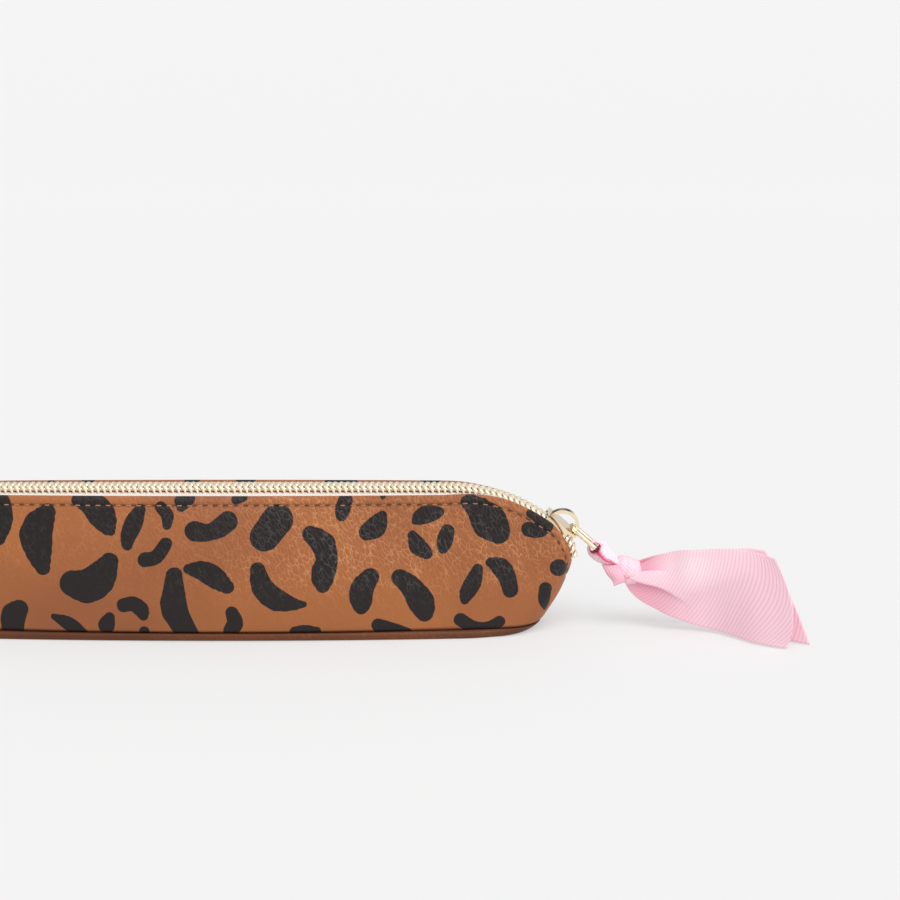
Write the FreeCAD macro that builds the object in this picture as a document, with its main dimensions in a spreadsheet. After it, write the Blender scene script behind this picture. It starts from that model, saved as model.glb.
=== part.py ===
"""Slim zipped pen pouch: soft printed shell, coil zip along the top, slider with a ribbon pull.

Frame: origin at the middle of the base, on the table. +X runs along the case to the end where
the slider rests, -Y is the front panel, +Z is up. Millimetres and degrees.
"""
import FreeCAD, Part
import Sketcher
import math
import os

doc = FreeCAD.newDocument("pen_pouch")
sheet = doc.addObject("Spreadsheet::Sheet", "sizes")

SIZES = [
    # The shell: waterlines from the base up to the mouth
    ("tip_half_length", 100.5, "half the overall length of the shell, at its two tips"),
    ("belly_setback", 3.5, "how far the shell's end falls back from the tip at belly height"),
    ("base_setback", 13.5, "how far the shell's end falls back from the tip at the base"),
    ("base_half_depth", 14.6, "half depth of the base"),
    ("belly_half_depth", 17.0, "half depth at the belly"),
    ("tip_half_depth", 16.2, "half depth at the height of the tips"),
    ("shoulder_half_depth", 12.8, "half depth where the walls lean in to the mouth"),
    ("mouth_half_depth", 8.6, "half depth of the mouth"),
    ("belly_height", 12.0, "height of the belly"),
    ("tip_rise", 11.0, "from the belly up to the tips"),
    ("shoulder_rise", 10.0, "from the tips up to the shoulder"),
    ("rim_rise", 8.3, "from the shoulder up to the rim"),
    ("trim_rise", 1.0, "spare height of the form above the rim"),
    ("nose_radius", 8.0, "plan radius of the shell's two ends"),
    ("base_bow", 3.6, "how far the base's long sides bow out past its end radius"),
    ("mouth_bow", 1.6, "how far the mouth's long sides bow out past its end radius"),
    ("leather", 1.2, "thickness of the outer panels"),
    ("lining", 0.6, "thickness of the lining"),
    ("base_turnup", 2.6, "height of the base panel's turned-up edge"),
    ("board", 1.0, "thickness of the stiffening board in the base"),
    # The rim in side view: straight, then a long fall, then a tight one down to the tip
    ("fall_setback", 4.72, "from the tip back to where the long fall ends"),
    ("fall_radius", 46.0, "radius of the long fall"),
    ("fall_angle", 42.0, "angle that the long fall turns through"),
    ("tip_radius", 16.0, "radius of the tight fall at the tip"),
    ("rim_skirt", 30.0, "depth of the rim's trimming form below the tight fall"),
    # The zip
    ("tape_drop", 0.7, "from the rim down to the tape"),
    ("tape", 0.6, "thickness of the zip tape"),
    ("tape_gap", 1.1, "from the zip's middle line to the tape's inner edge"),
    ("coil_pitch", 1.77, "spacing of the turns of one coil row"),
    ("coil_wire", 0.72, "width of one turn along the zip"),
    ("coil_height", 1.8, "height of the coil above the tape"),
    ("coil_reach", 2.4, "from the zip's middle line to a closed row's outer edge"),
    ("coil_cross", 0.3, "how far a closed row's heads pass the middle line"),
    ("coil_part", 1.2, "how far each row is pushed aside at the slider's post"),
    ("coil_run", 4.2, "length of coil past the long fall at each end"),
    # The slider
    ("slider_rear", 4.8, "from the slider's middle to its rear edge"),
    ("slider_front", 5.6, "from the slider's middle to its front edge"),
    ("sole_setback", 1.1, "how far the lower plate stops short of the front edge"),
    ("slider_shoulder", 1.8, "from the slider's middle to its shoulders"),
    ("slider_rear_half", 3.8, "half width at the rear"),
    ("slider_shoulder_half", 4.6, "half width at the shoulders"),
    ("slider_front_half", 2.4, "half width of the front edge"),
    ("slider_plate", 0.9, "thickness of the upper and lower plates"),
    ("slider_flange", 0.65, "thickness of the side flanges"),
    ("slider_clear", 0.3, "clearance over the coil and above the tape"),
    ("slider_sink", 0.8, "clearance from the tape down to the lower plate"),
    ("post_half", 0.7, "half width of the wedge post"),
    ("post_rear", 0.9, "from the slider's middle to the post's rear corner"),
    ("post_front", 3.7, "from the slider's middle to the post's front edge"),
    ("bail_radius", 4.8, "outer radius of the bail's arch"),
    ("bail_bar", 1.0, "thickness of the bail's bar"),
    ("bail_width", 2.2, "width of the bail across the zip"),
    ("bail_sink", 0.7, "how far the arch's centre lies below the upper plate"),
    ("bail_shift", 0.8, "how far the arch's centre lies ahead of the slider's middle"),
    # The puller link and the ribbon
    ("link_seat", 2.9, "from the slider's middle to the link's inner end"),
    ("link_length", 10.1, "from the link's inner end to its outer end, along the wire's middle"),
    ("link_half", 2.15, "from the link's middle to its side wires"),
    ("link_wire", 1.3, "diameter of the link's wire"),
    ("link_clear", 0.25, "clearance of the link above the upper plate"),
    ("loop_radius", 4.4, "outer radius of the ribbon's loop"),
    ("loop_band", 1.0, "thickness of the loop's gathered band"),
    ("loop_width", 2.4, "width of the gathered band through the link"),
    ("loop_play", 0.85, "free space between the link's wire and the loop"),
    ("knot_reach", 10.6, "from the link's outer end to the middle of the knot"),
    ("knot_fall", 36.0, "angle at which the loop falls to the knot"),
    ("knot_radius", 4.8, "radius of the knot"),
    ("ribbon_width", 25.0, "width of the ribbon"),
    ("ribbon_fold", 7.5, "width of the ribbon where it is gathered in the knot"),
    ("ribbon_fan", 17.5, "width of the ribbon where it fans out of the knot"),
    ("ribbon_spread", 23.6, "width of the ribbon where it has nearly spread"),
    ("ribbon", 0.7, "thickness of the ribbon's tails"),
    ("ribbon_gather", 1.6, "thickness of a tail where it is gathered in the knot"),
]

for row, (alias, value, note) in enumerate(SIZES, start=1):
    sheet.set(f"A{row}", note)
    sheet.set(f"B{row}", str(value))
    sheet.setAlias(f"B{row}", alias)
doc.recompute()


# Expressions that several pieces share

FALL = "sizes.fall_angle * 1 deg"
TIP_Z = "(sizes.belly_height + sizes.tip_rise)"
SHOULDER_Z = f"({TIP_Z} + sizes.shoulder_rise)"
RIM_Z = f"({SHOULDER_Z} + sizes.rim_rise)"
TRIM_Z = f"({RIM_Z} + sizes.trim_rise)"
REST_X = "(sizes.tip_half_length - sizes.fall_setback)"
RIM_X = f"({REST_X} - sizes.fall_radius * sin({FALL}))"
FALL_Z = f"({RIM_Z} - sizes.fall_radius)"
REST_Z = f"({FALL_Z} + sizes.fall_radius * cos({FALL}))"
WALL = "(sizes.leather + sizes.lining)"
TAPE_FOOT = "(sizes.tape_drop + sizes.tape)"
COIL_TOP = "(sizes.coil_height - sizes.tape_drop)"
PLATE_FOOT = f"({COIL_TOP} + sizes.slider_clear)"
PLATE_TOP = f"({PLATE_FOOT} + sizes.slider_plate)"
SOLE_TOP = f"(-{TAPE_FOOT} - sizes.slider_sink)"
SOLE_FOOT = f"({SOLE_TOP} - sizes.slider_plate)"
LINK_N = f"({PLATE_TOP} + sizes.link_clear + sizes.link_wire / 2)"


def size(expression):
    """Number that an expression on the sheet comes to."""
    return float(sheet.evalExpression(expression))


def new(kind, name, **bindings):
    """New object of the document, each named property bound to its expression."""
    item = doc.addObject(kind, name)
    bind(item, **bindings)
    return item


def bind(item, **bindings):
    """Bind properties to expressions."""
    for name, expression in bindings.items():
        item.setExpression(name, expression)


def place(item, x="0", y="0", z="0", axis=None, angle="0"):
    """Bind an object's place, and its turn about a fixed axis, to expressions."""
    if axis is not None:
        item.Placement = FreeCAD.Placement(FreeCAD.Vector(), FreeCAD.Rotation(axis, 1))
        item.setExpression("Placement.Rotation.Angle", f"({angle}) * 1 deg")
    item.setExpression("Placement.Base.x", x)
    item.setExpression("Placement.Base.y", y)
    item.setExpression("Placement.Base.z", z)


X_AXIS = FreeCAD.Vector(1, 0, 0)
Y_AXIS = FreeCAD.Vector(0, 1, 0)
Z_AXIS = FreeCAD.Vector(0, 0, 1)
CORNER_AXIS = FreeCAD.Vector(1, 1, 1)

# How a sketch numbers its two axes and the points of an edge
Y_LINE, X_LINE = range(-2, 0)
START, END, CENTRE = range(1, 4)
ORIGIN = (X_LINE, START)


def dimension(sketch, kind, *where, expression):
    """Add a dimension to a sketch, driven by an expression."""
    index = sketch.addConstraint(Sketcher.Constraint(kind, *where, size(expression)))
    label = f"{kind}_{index}"
    sketch.renameConstraint(index, label)
    sketch.setExpression(f"Constraints.{label}", expression)


def arc(centre_x, centre_y, radius, first, last):
    """Arc of a circle in a sketch's plane, from one angle to another in radians."""
    circle = Part.Circle(FreeCAD.Vector(centre_x, centre_y, 0), Z_AXIS, radius)
    return Part.ArcOfCircle(circle, first, last)


def line(start, end):
    """Straight edge in a sketch's plane."""
    return Part.LineSegment(FreeCAD.Vector(*start, 0), FreeCAD.Vector(*end, 0))


def polygon(sketch, corners):
    """Closed outline in a sketch with straight edges; each corner is a pair of expressions."""
    points = [(size(x), size(y)) for x, y in corners]
    count = len(points)
    for i in range(count):
        sketch.addGeometry(line(points[i], points[(i + 1) % count]), False)
    for i in range(count):
        sketch.addConstraint(Sketcher.Constraint("Coincident", i, END, (i + 1) % count, START))
    for i, (x, y) in enumerate(corners):
        dimension(sketch, "DistanceX", *ORIGIN, i, START, expression=x)
        dimension(sketch, "DistanceY", *ORIGIN, i, START, expression=y)
    return sketch


def side_arc(half_length, half_depth, nose):
    """Radius of the long arc that touches both noses and reaches the half depth."""
    return f"(({half_length} - {nose})^2 + {half_depth}^2 - {nose}^2) / (2 * ({half_depth} - {nose}))"


def half_waterline(name, height, half_length, half_depth, nose):
    """Front half of the shell's outline at one height: a long arc between two round noses."""
    a, d, r = size(half_length), size(half_depth), size(nose)
    side_radius = side_arc(half_length, half_depth, nose)
    side = size(side_radius)
    turn = math.atan2(side - d, a - r)
    sketch = new("Sketcher::SketchObject", name)
    place(sketch, z=height)
    sketch.addGeometry(arc(-(a - r), 0, r, math.pi, math.pi + turn), False)
    sketch.addGeometry(arc(0, side - d, side, math.pi + turn, 2 * math.pi - turn), False)
    sketch.addGeometry(arc(a - r, 0, r, -turn, 0), False)
    sketch.addGeometry(line((a, 0), (-a, 0)), False)
    sketch.addConstraint(Sketcher.Constraint("Tangent", 0, END, 1, START))
    sketch.addConstraint(Sketcher.Constraint("Tangent", 1, END, 2, START))
    sketch.addConstraint(Sketcher.Constraint("Coincident", 2, END, 3, START))
    sketch.addConstraint(Sketcher.Constraint("Coincident", 3, END, 0, START))
    sketch.addConstraint(Sketcher.Constraint("PointOnObject", 0, CENTRE, X_LINE))
    sketch.addConstraint(Sketcher.Constraint("PointOnObject", 2, CENTRE, X_LINE))
    sketch.addConstraint(Sketcher.Constraint("PointOnObject", 3, START, X_LINE))
    sketch.addConstraint(Sketcher.Constraint("PointOnObject", 3, END, X_LINE))
    sketch.addConstraint(Sketcher.Constraint("PointOnObject", 1, CENTRE, Y_LINE))
    sketch.addConstraint(Sketcher.Constraint("Equal", 0, 2))
    dimension(sketch, "Radius", 2, expression=nose)
    dimension(sketch, "DistanceX", *ORIGIN, 2, CENTRE, expression=f"{half_length} - {nose}")
    dimension(sketch, "Radius", 1, expression=side_radius)
    return sketch


NOSE_TURNS = [0, 19, 38, 57, 76]
SIDE_PARTS = [0.75, 0.5, 0.25]


def half_facets(name, height, half_length, half_depth, nose):
    """The same outline with straight edges, its corners on the noses and on the long arc."""
    nose_x = f"({half_length} - {nose})"
    side_radius = f"({side_arc(half_length, half_depth, nose)})"
    quarter = [
        (f"{nose_x} + {nose} * cos({turn} deg)", f"-{nose} * sin({turn} deg)")
        for turn in NOSE_TURNS
    ]
    for part in SIDE_PARTS:
        x = f"{part} * {nose_x}"
        quarter.append((x, f"{side_radius} - {half_depth} - sqrt({side_radius}^2 - ({x})^2)"))
    other = [(f"-({x})", y) for x, y in reversed(quarter)]
    sketch = polygon(new("Sketcher::SketchObject", name), quarter + [("0", f"-{half_depth}")] + other)
    place(sketch, z=height)
    return sketch


def half_form(name, inset, outline, ruled):
    """Front half of the shell's form, drawn in by an inset, lofted through its outlines.

    A ruled form runs straight from each outline to the next, so it lies just inside the smooth one.
    """
    tip = "sizes.tip_half_length"
    nose = "sizes.nose_radius"
    base_depth, mouth_depth = "sizes.base_half_depth", "sizes.mouth_half_depth"
    levels = [
        ("base", "0", f"{tip} - sizes.base_setback", base_depth, f"{base_depth} - sizes.base_bow"),
        ("belly", "sizes.belly_height", f"{tip} - sizes.belly_setback", "sizes.belly_half_depth", nose),
        ("tip", TIP_Z, tip, "sizes.tip_half_depth", nose),
        ("shoulder", SHOULDER_Z, tip, "sizes.shoulder_half_depth", nose),
        ("mouth", TRIM_Z, tip, mouth_depth, f"{mouth_depth} - sizes.mouth_bow"),
    ]
    loft = new("Part::Loft", name)
    loft.Sections = [
        outline(f"{name}_{level}", z, f"({a} - {inset})", f"({d} - {inset})", f"({r} - {inset})")
        for level, z, a, d, r in levels
    ]
    loft.Ruled = ruled
    loft.Solid = True
    return loft


def under_rim(name, drop):
    """Everything below the rim line let down by a drop, as one long prism across the case."""
    top, x, turn = size(f"{RIM_Z} - {drop}"), size(RIM_X), math.radians(size("sizes.fall_angle"))
    long_radius, tip_radius = size(f"sizes.fall_radius - {drop}"), size(f"sizes.tip_radius - {drop}")
    fall_z = top - long_radius
    tip_x = x + (long_radius - tip_radius) * math.sin(turn)
    tip_z = fall_z + (long_radius - tip_radius) * math.cos(turn)
    foot = tip_z - size("sizes.rim_skirt")
    edge = tip_x + tip_radius
    up, steep = math.pi / 2, math.pi / 2 - turn
    sketch = new("Sketcher::SketchObject", f"{name}_profile")
    place(sketch, axis=X_AXIS, angle="90")
    outline = [
        line((x, top), (-x, top)),
        arc(-x, fall_z, long_radius, up, up + turn),
        arc(-tip_x, tip_z, tip_radius, up + turn, math.pi),
        line((-edge, tip_z), (-edge, foot)),
        line((-edge, foot), (edge, foot)),
        line((edge, foot), (edge, tip_z)),
        arc(tip_x, tip_z, tip_radius, 0, steep),
        arc(x, fall_z, long_radius, steep, up),
    ]
    sketch.addGeometry(outline, False)
    for first, second in ((0, 1), (1, 2), (2, 3), (5, 6), (6, 7), (7, 0)):
        sketch.addConstraint(Sketcher.Constraint("Tangent", first, END, second, START))
    sketch.addConstraint(Sketcher.Constraint("Coincident", 3, END, 4, START))
    sketch.addConstraint(Sketcher.Constraint("Coincident", 4, END, 5, START))
    sketch.addConstraint(Sketcher.Constraint("Horizontal", 0))
    sketch.addConstraint(Sketcher.Constraint("Vertical", 3))
    sketch.addConstraint(Sketcher.Constraint("Vertical", 5))
    dimension(sketch, "DistanceY", *ORIGIN, 0, START, expression=f"{RIM_Z} - {drop}")
    dimension(sketch, "DistanceX", *ORIGIN, 0, START, expression=RIM_X)
    dimension(sketch, "DistanceX", *ORIGIN, 0, END, expression=f"-{RIM_X}")
    for long_fall, tight_fall in ((1, 2), (7, 6)):
        dimension(sketch, "Radius", long_fall, expression=f"sizes.fall_radius - {drop}")
        dimension(sketch, "Radius", tight_fall, expression=f"sizes.tip_radius - {drop}")
        dimension(sketch, "Angle", long_fall, expression=FALL)
    tip_centre = f"{FALL_Z} + (sizes.fall_radius - sizes.tip_radius) * cos({FALL})"
    foot_z = f"{tip_centre} - sizes.rim_skirt"
    for side, corner in ((3, END), (5, START)):
        dimension(sketch, "DistanceY", *ORIGIN, side, corner, expression=foot_z)
    prism = new("Part::Extrusion", name, LengthFwd="4 * sizes.belly_half_depth")
    prism.Base = sketch
    prism.DirMode = "Normal"
    prism.Solid = True
    prism.Symmetric = True
    return prism


def box(name, x, y, z, length, width, height):
    """Block with its lowest corner and its three sides given as expressions."""
    block = new("Part::Box", name, Length=length, Width=width, Height=height)
    place(block, x, y, z)
    return block


def slab(name, foot, top):
    """Layer of the whole case between two heights."""
    reach, depth = "(sizes.tip_half_length + sizes.leather)", "2 * sizes.belly_half_depth"
    return box(name, f"-{reach}", f"-{depth}", foot, f"2 * {reach}", f"2 * {depth}", f"{top} - ({foot})")


def cut(name, base, tool):
    """One shape less another."""
    result = new("Part::Cut", name)
    result.Base = base
    result.Tool = tool
    return result


def common(name, *shapes):
    """What all of the shapes share."""
    result = new("Part::MultiCommon", name)
    result.Shapes = list(shapes)
    return result


def fuse(name, *shapes):
    """All of the shapes as one solid."""
    result = new("Part::MultiFuse", name)
    result.Shapes = list(shapes)
    return result


def mirrored(name, source):
    """The same shape on the other side of the case's middle plane."""
    result = new("Part::Mirroring", name)
    result.Source = source
    result.Normal = Y_AXIS
    return result


def whole(name, half):
    """A front half and its mirror image, joined."""
    return fuse(name, half, mirrored(f"{name}_back", half))


pieces = []


def piece(label, item):
    """Register a finished piece under its node name."""
    item.Label = label
    pieces.append(item)
    return item


# Shell: two side panels on a base panel, each panel lined

outer_half = half_form("outer_half", "0", half_waterline, False)
middle_half = half_form("middle_half", "sizes.leather", half_facets, True)
inner_half = half_form("inner_half", WALL, half_facets, True)
outer_form = whole("outer_form", outer_half)
middle_form = whole("middle_form", middle_half)
inner_form = whole("inner_form", inner_half)
below_rim = under_rim("below_rim", "0")
below_tape_top = under_rim("below_tape_top", "sizes.tape_drop")
below_tape = under_rim("below_tape", TAPE_FOOT)

panel_layer = slab("panel_layer", "sizes.base_turnup", TRIM_Z)
front_shell = cut("front_shell", outer_half, middle_half)
front_panel = piece("front_panel", common("front_panel_cut", front_shell, below_rim, panel_layer))
piece("back_panel", mirrored("back_panel_cut", front_panel))

lining_layer = slab("lining_layer", "sizes.leather", TRIM_Z)
front_skin = cut("front_skin", middle_half, inner_half)
front_lining = piece("front_lining", common("front_lining_cut", front_skin, below_tape, lining_layer))
piece("back_lining", mirrored("back_lining_cut", front_lining))

base_layer = slab("base_layer", "0", "sizes.base_turnup")
base_block = common("base_block", outer_form, base_layer)
base_core = common("base_core", middle_form, lining_layer)
piece("base_panel", cut("base_panel_cut", base_block, base_core))

BOARD_TOP = "(sizes.leather + sizes.board)"
board_layer = slab("board_layer", "sizes.leather", BOARD_TOP)
piece("base_board", common("base_board_cut", inner_form, board_layer))
base_lining_layer = slab("base_lining_layer", BOARD_TOP, f"({BOARD_TOP} + sizes.lining)")
piece("base_lining", common("base_lining_cut", inner_form, base_lining_layer))


# Zip tapes: thin strips just under the rim, from each panel in to the coil

tape_band = cut("tape_band", below_tape_top, below_tape)
front_side = box(
    "front_side",
    "-2 * sizes.tip_half_length",
    "-4 * sizes.belly_half_depth",
    "0",
    "4 * sizes.tip_half_length",
    "4 * sizes.belly_half_depth - sizes.tape_gap",
    TRIM_Z,
)
front_tape = piece("front_zip_tape", common("front_tape_cut", middle_half, tape_band, front_side))
piece("back_zip_tape", mirrored("back_tape_cut", front_tape))


# Coil rows: turns spaced along the rim line, pushed apart where the slider's post stands

def zip_point(run):
    """Place on the rim line at a run from its middle: x, z and the line's fall in radians."""
    side = math.copysign(1.0, run)
    run = abs(run)
    straight, long_radius, tip_radius = size(RIM_X), size("sizes.fall_radius"), size("sizes.tip_radius")
    turn = math.radians(size("sizes.fall_angle"))
    fall = min(max((run - straight) / long_radius, 0.0), turn)
    tip_fall = max(run - straight - long_radius * turn, 0.0) / tip_radius
    centre_x = straight + (long_radius - tip_radius) * math.sin(fall) if tip_fall else straight
    centre_z = size(FALL_Z) + (long_radius - tip_radius) * math.cos(fall) if tip_fall else size(FALL_Z)
    radius = tip_radius if tip_fall else long_radius
    angle = fall + tip_fall
    x = min(run, straight) if not angle else centre_x + radius * math.sin(angle)
    z = centre_z + radius * math.cos(angle)
    return side * x, z, side * angle


def parting(from_slider):
    """How far a row is pushed aside at a distance ahead of the slider's middle."""
    rear, post = -size("sizes.slider_rear"), size("sizes.post_rear") - size("sizes.coil_pitch") / 2
    rise = min(max((from_slider - rear) / (post - rear), 0.0), 1.0)
    return size("sizes.coil_part") * rise * rise * (3 - 2 * rise)


def coil_turn(reach_from, reach_to):
    """One turn of a coil: a chamfered bar across the zip, standing on the tape."""
    half, foot, top = size("sizes.coil_wire") / 2, -size("sizes.tape_drop"), size(COIL_TOP)
    chamfer = half
    outline = [(-half, foot), (half, foot), (half, top - chamfer), (0, top), (-half, top - chamfer)]
    corners = [FreeCAD.Vector(x, reach_from, z) for x, z in outline]
    face = Part.Face(Part.makePolygon(corners + corners[:1]))
    return face.extrude(FreeCAD.Vector(0, reach_to - reach_from, 0))


def coil_row(name, side, offset):
    """Row of coil turns on one side of the zip, with its first turn offset along the zip."""
    pitch, turn = size("sizes.coil_pitch"), math.radians(size("sizes.fall_angle"))
    slider_run = size(RIM_X) + size("sizes.fall_radius") * turn
    half_run = slider_run + size("sizes.coil_run")
    bar = coil_turn(-size("sizes.coil_reach"), size("sizes.coil_cross"))
    if side > 0:
        bar = bar.mirror(FreeCAD.Vector(), Y_AXIS)
    turns = []
    for i in range(int((2 * half_run - offset) / pitch) + 1):
        run = -half_run + offset + i * pitch
        x, z, fall = zip_point(run)
        shift = side * parting(run - slider_run)
        turns.append(bar.copy())
        turns[-1].Placement = FreeCAD.Placement(
            FreeCAD.Vector(x, shift, z), FreeCAD.Rotation(Y_AXIS, math.degrees(fall)))
    row_item = new("Part::Feature", name)
    row_item.Shape = Part.makeCompound(turns)
    return row_item


piece("front_coil", coil_row("front_row", -1, 0.0))
piece("back_coil", coil_row("back_row", 1, size("sizes.coil_pitch") / 2))


# Slider: two plates joined by a wedge post, with side flanges that hold the coil in

def at_slider(item):
    """Put a piece drawn about the slider's middle at the lower end of the rim's long fall."""
    place(item, x=REST_X, z=REST_Z, axis=Y_AXIS, angle="sizes.fall_angle")


def slider_block(name, corners, foot, top):
    """Prism in the slider's own frame, from an outline in its plane and two heights."""
    sketch = polygon(new("Sketcher::SketchObject", f"{name}_outline"), corners)
    place(sketch, z=foot)
    prism = new("Part::Extrusion", name, LengthFwd=f"{top} - ({foot})")
    prism.Base = sketch
    prism.DirMode = "Normal"
    prism.Solid = True
    return prism


def both_sides(outline):
    """Outline symmetrical about the zip's middle line, from its corners on one side."""
    return [(x, f"-({y})") for x, y in outline] + [(x, y) for x, y in reversed(outline)]


body_outline = both_sides([
    ("-sizes.slider_rear", "sizes.slider_rear_half"),
    ("sizes.slider_shoulder", "sizes.slider_shoulder_half"),
    ("sizes.slider_front", "sizes.slider_front_half"),
])
channel_outline = both_sides([
    ("-sizes.slider_rear - sizes.slider_plate", "sizes.slider_rear_half - sizes.slider_flange"),
    ("sizes.slider_shoulder", "sizes.slider_shoulder_half - sizes.slider_flange"),
    ("sizes.slider_front + sizes.slider_plate", "sizes.slider_shoulder_half - sizes.slider_flange"),
])
CLEAR_HALF = "sizes.slider_shoulder_half + sizes.slider_plate"
slot_outline = both_sides([
    ("-sizes.slider_rear - sizes.slider_plate", CLEAR_HALF),
    ("sizes.slider_front + sizes.slider_plate", CLEAR_HALF),
])
sole_relief_outline = both_sides([
    ("sizes.slider_front - sizes.sole_setback", CLEAR_HALF),
    ("sizes.slider_front + sizes.slider_plate", CLEAR_HALF),
])
post_outline = [
    ("sizes.post_rear", "0"),
    ("(sizes.post_rear + sizes.post_front) / 2", "-sizes.post_half"),
    ("sizes.post_front", "-sizes.post_half"),
    ("sizes.post_front", "sizes.post_half"),
    ("(sizes.post_rear + sizes.post_front) / 2", "sizes.post_half"),
]
SLOT_TOP = "(sizes.slider_clear - sizes.tape_drop)"
slider_stock = slider_block("slider_stock", body_outline, SOLE_FOOT, PLATE_TOP)
slider_channel = slider_block("slider_channel", channel_outline, SOLE_TOP, PLATE_FOOT)
slider_slot = slider_block("slider_slot", slot_outline, SOLE_TOP, SLOT_TOP)
slider_post = slider_block("slider_post", post_outline, SOLE_FOOT, PLATE_TOP)
sole_relief = slider_block("sole_relief", sole_relief_outline, SOLE_FOOT, SLOT_TOP)
slider_hollow = fuse("slider_hollow", slider_channel, slider_slot, sole_relief)
slider_frame = cut("slider_frame", slider_stock, slider_hollow)
slider_body = piece("slider_body", fuse("slider_body_joined", slider_frame, slider_post))
at_slider(slider_body)


def cross_cylinder(name, radius, width, x, z):
    """Cylinder across the zip, centred on its middle line."""
    cylinder = new("Part::Cylinder", name, Radius=radius, Height=width)
    place(cylinder, x=x, y=f"({width}) / 2", z=z, axis=X_AXIS, angle="90")
    return cylinder


BAIL_N = f"({PLATE_TOP} - sizes.bail_sink)"
BAIL_AT = ("sizes.bail_shift", BAIL_N)
bail_outer = cross_cylinder("bail_outer", "sizes.bail_radius", "sizes.bail_width", *BAIL_AT)
BAIL_HOLE = "sizes.bail_radius - sizes.bail_bar"
bail_inner = cross_cylinder("bail_inner", BAIL_HOLE, "2 * sizes.bail_width", *BAIL_AT)
bail_ring = cut("bail_ring", bail_outer, bail_inner)
bail_room = box(
    "bail_room",
    "-2 * sizes.bail_radius",
    "-sizes.bail_width",
    PLATE_TOP,
    "4 * sizes.bail_radius",
    "2 * sizes.bail_width",
    "2 * sizes.bail_radius",
)
slider_bail = piece("slider_bail", common("slider_bail_cut", bail_ring, bail_room))
at_slider(slider_bail)


# Puller link: a long wire ring whose inner end passes under the bail

def wire_section(name, middle):
    """Eight-sided section of the link's wire, with its middle off the axis that it is drawn on."""
    half = "sizes.link_wire / 2"
    flat = f"{half} * (sqrt(2) - 1)"
    quarter = [(half, flat), (flat, half)]
    corners = quarter + [(f"-({x})", y) for x, y in reversed(quarter)]
    corners += [(f"-({x})", f"-({y})") for x, y in corners]
    return polygon(new("Sketcher::SketchObject", name), [(f"{middle} + {x}", y) for x, y in corners])


def link_end(name, x, angle):
    """Half ring of wire at one end of the link."""
    section = wire_section(f"{name}_section", "sizes.link_half")
    place(section, axis=X_AXIS, angle="90")
    end = new("Part::Revolution", name)
    end.Source = section
    end.Axis = Z_AXIS
    end.Angle = 180
    end.Solid = True
    place(end, x=x, z=LINK_N, axis=Z_AXIS, angle=angle)
    return end


def link_side(name, y):
    """Straight wire along one side of the link."""
    section = wire_section(f"{name}_section", y)
    place(section, x="sizes.link_seat + sizes.link_half", z=LINK_N, axis=CORNER_AXIS, angle="120")
    side = new("Part::Extrusion", name, LengthFwd="sizes.link_length - 2 * sizes.link_half")
    side.Base = section
    side.DirMode = "Normal"
    side.Solid = True
    return side


pull_link = piece("pull_link", fuse(
    "pull_link_joined",
    link_end("link_inner_end", "sizes.link_seat + sizes.link_half", "90"),
    link_end("link_outer_end", "sizes.link_seat + sizes.link_length - sizes.link_half", "-90"),
    link_side("link_front_wire", "-sizes.link_half"),
    link_side("link_back_wire", "sizes.link_half"),
))
at_slider(pull_link)


# Ribbon: a strip looped through the link, knotted, with two tails that fan out to the table

LINK_END = "(sizes.link_seat + sizes.link_length)"
RIBBON_X = f"({REST_X} + {LINK_END} * cos({FALL}) + {LINK_N} * sin({FALL}))"
RIBBON_Z = f"({REST_Z} - {LINK_END} * sin({FALL}) + {LINK_N} * cos({FALL}))"
KNOT_TURN = "sizes.knot_fall * 1 deg"
LOOP_AT = "(sizes.loop_radius - sizes.loop_band - sizes.link_wire / 2 - sizes.loop_play)"


def loop_cylinder(name, radius, width):
    """Cylinder about the middle of the ribbon's loop."""
    x, z = f"{LOOP_AT} * cos({KNOT_TURN})", f"-{LOOP_AT} * sin({KNOT_TURN})"
    return cross_cylinder(name, radius, width, x, z)


ribbon_loop = cut(
    "ribbon_loop",
    loop_cylinder("loop_outer", "sizes.loop_radius", "sizes.loop_width"),
    loop_cylinder("loop_inner", "sizes.loop_radius - sizes.loop_band", "2 * sizes.loop_width"),
)


def knot_ring(name, radius, y):
    """Twelve-sided outline of the knot, across the zip at a distance from its middle line."""
    ring = new("Part::RegularPolygon", name, Circumradius=radius)
    ring.Polygon = 12
    x, z = f"sizes.knot_reach * cos({KNOT_TURN})", f"-sizes.knot_reach * sin({KNOT_TURN})"
    place(ring, x, y, z, X_AXIS, "90")
    return ring


KNOT_END, KNOT_SIDE = "0.62 * sizes.knot_radius", "0.5 * sizes.knot_radius"
knot = new("Part::Loft", "knot")
knot.Sections = [
    knot_ring("knot_front_end", KNOT_END, "-sizes.knot_radius"),
    knot_ring("knot_front", "sizes.knot_radius", f"-{KNOT_SIDE}"),
    knot_ring("knot_back", "sizes.knot_radius", KNOT_SIDE),
    knot_ring("knot_back_end", KNOT_END, "sizes.knot_radius"),
]
knot.Ruled = True
knot.Solid = True

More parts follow.
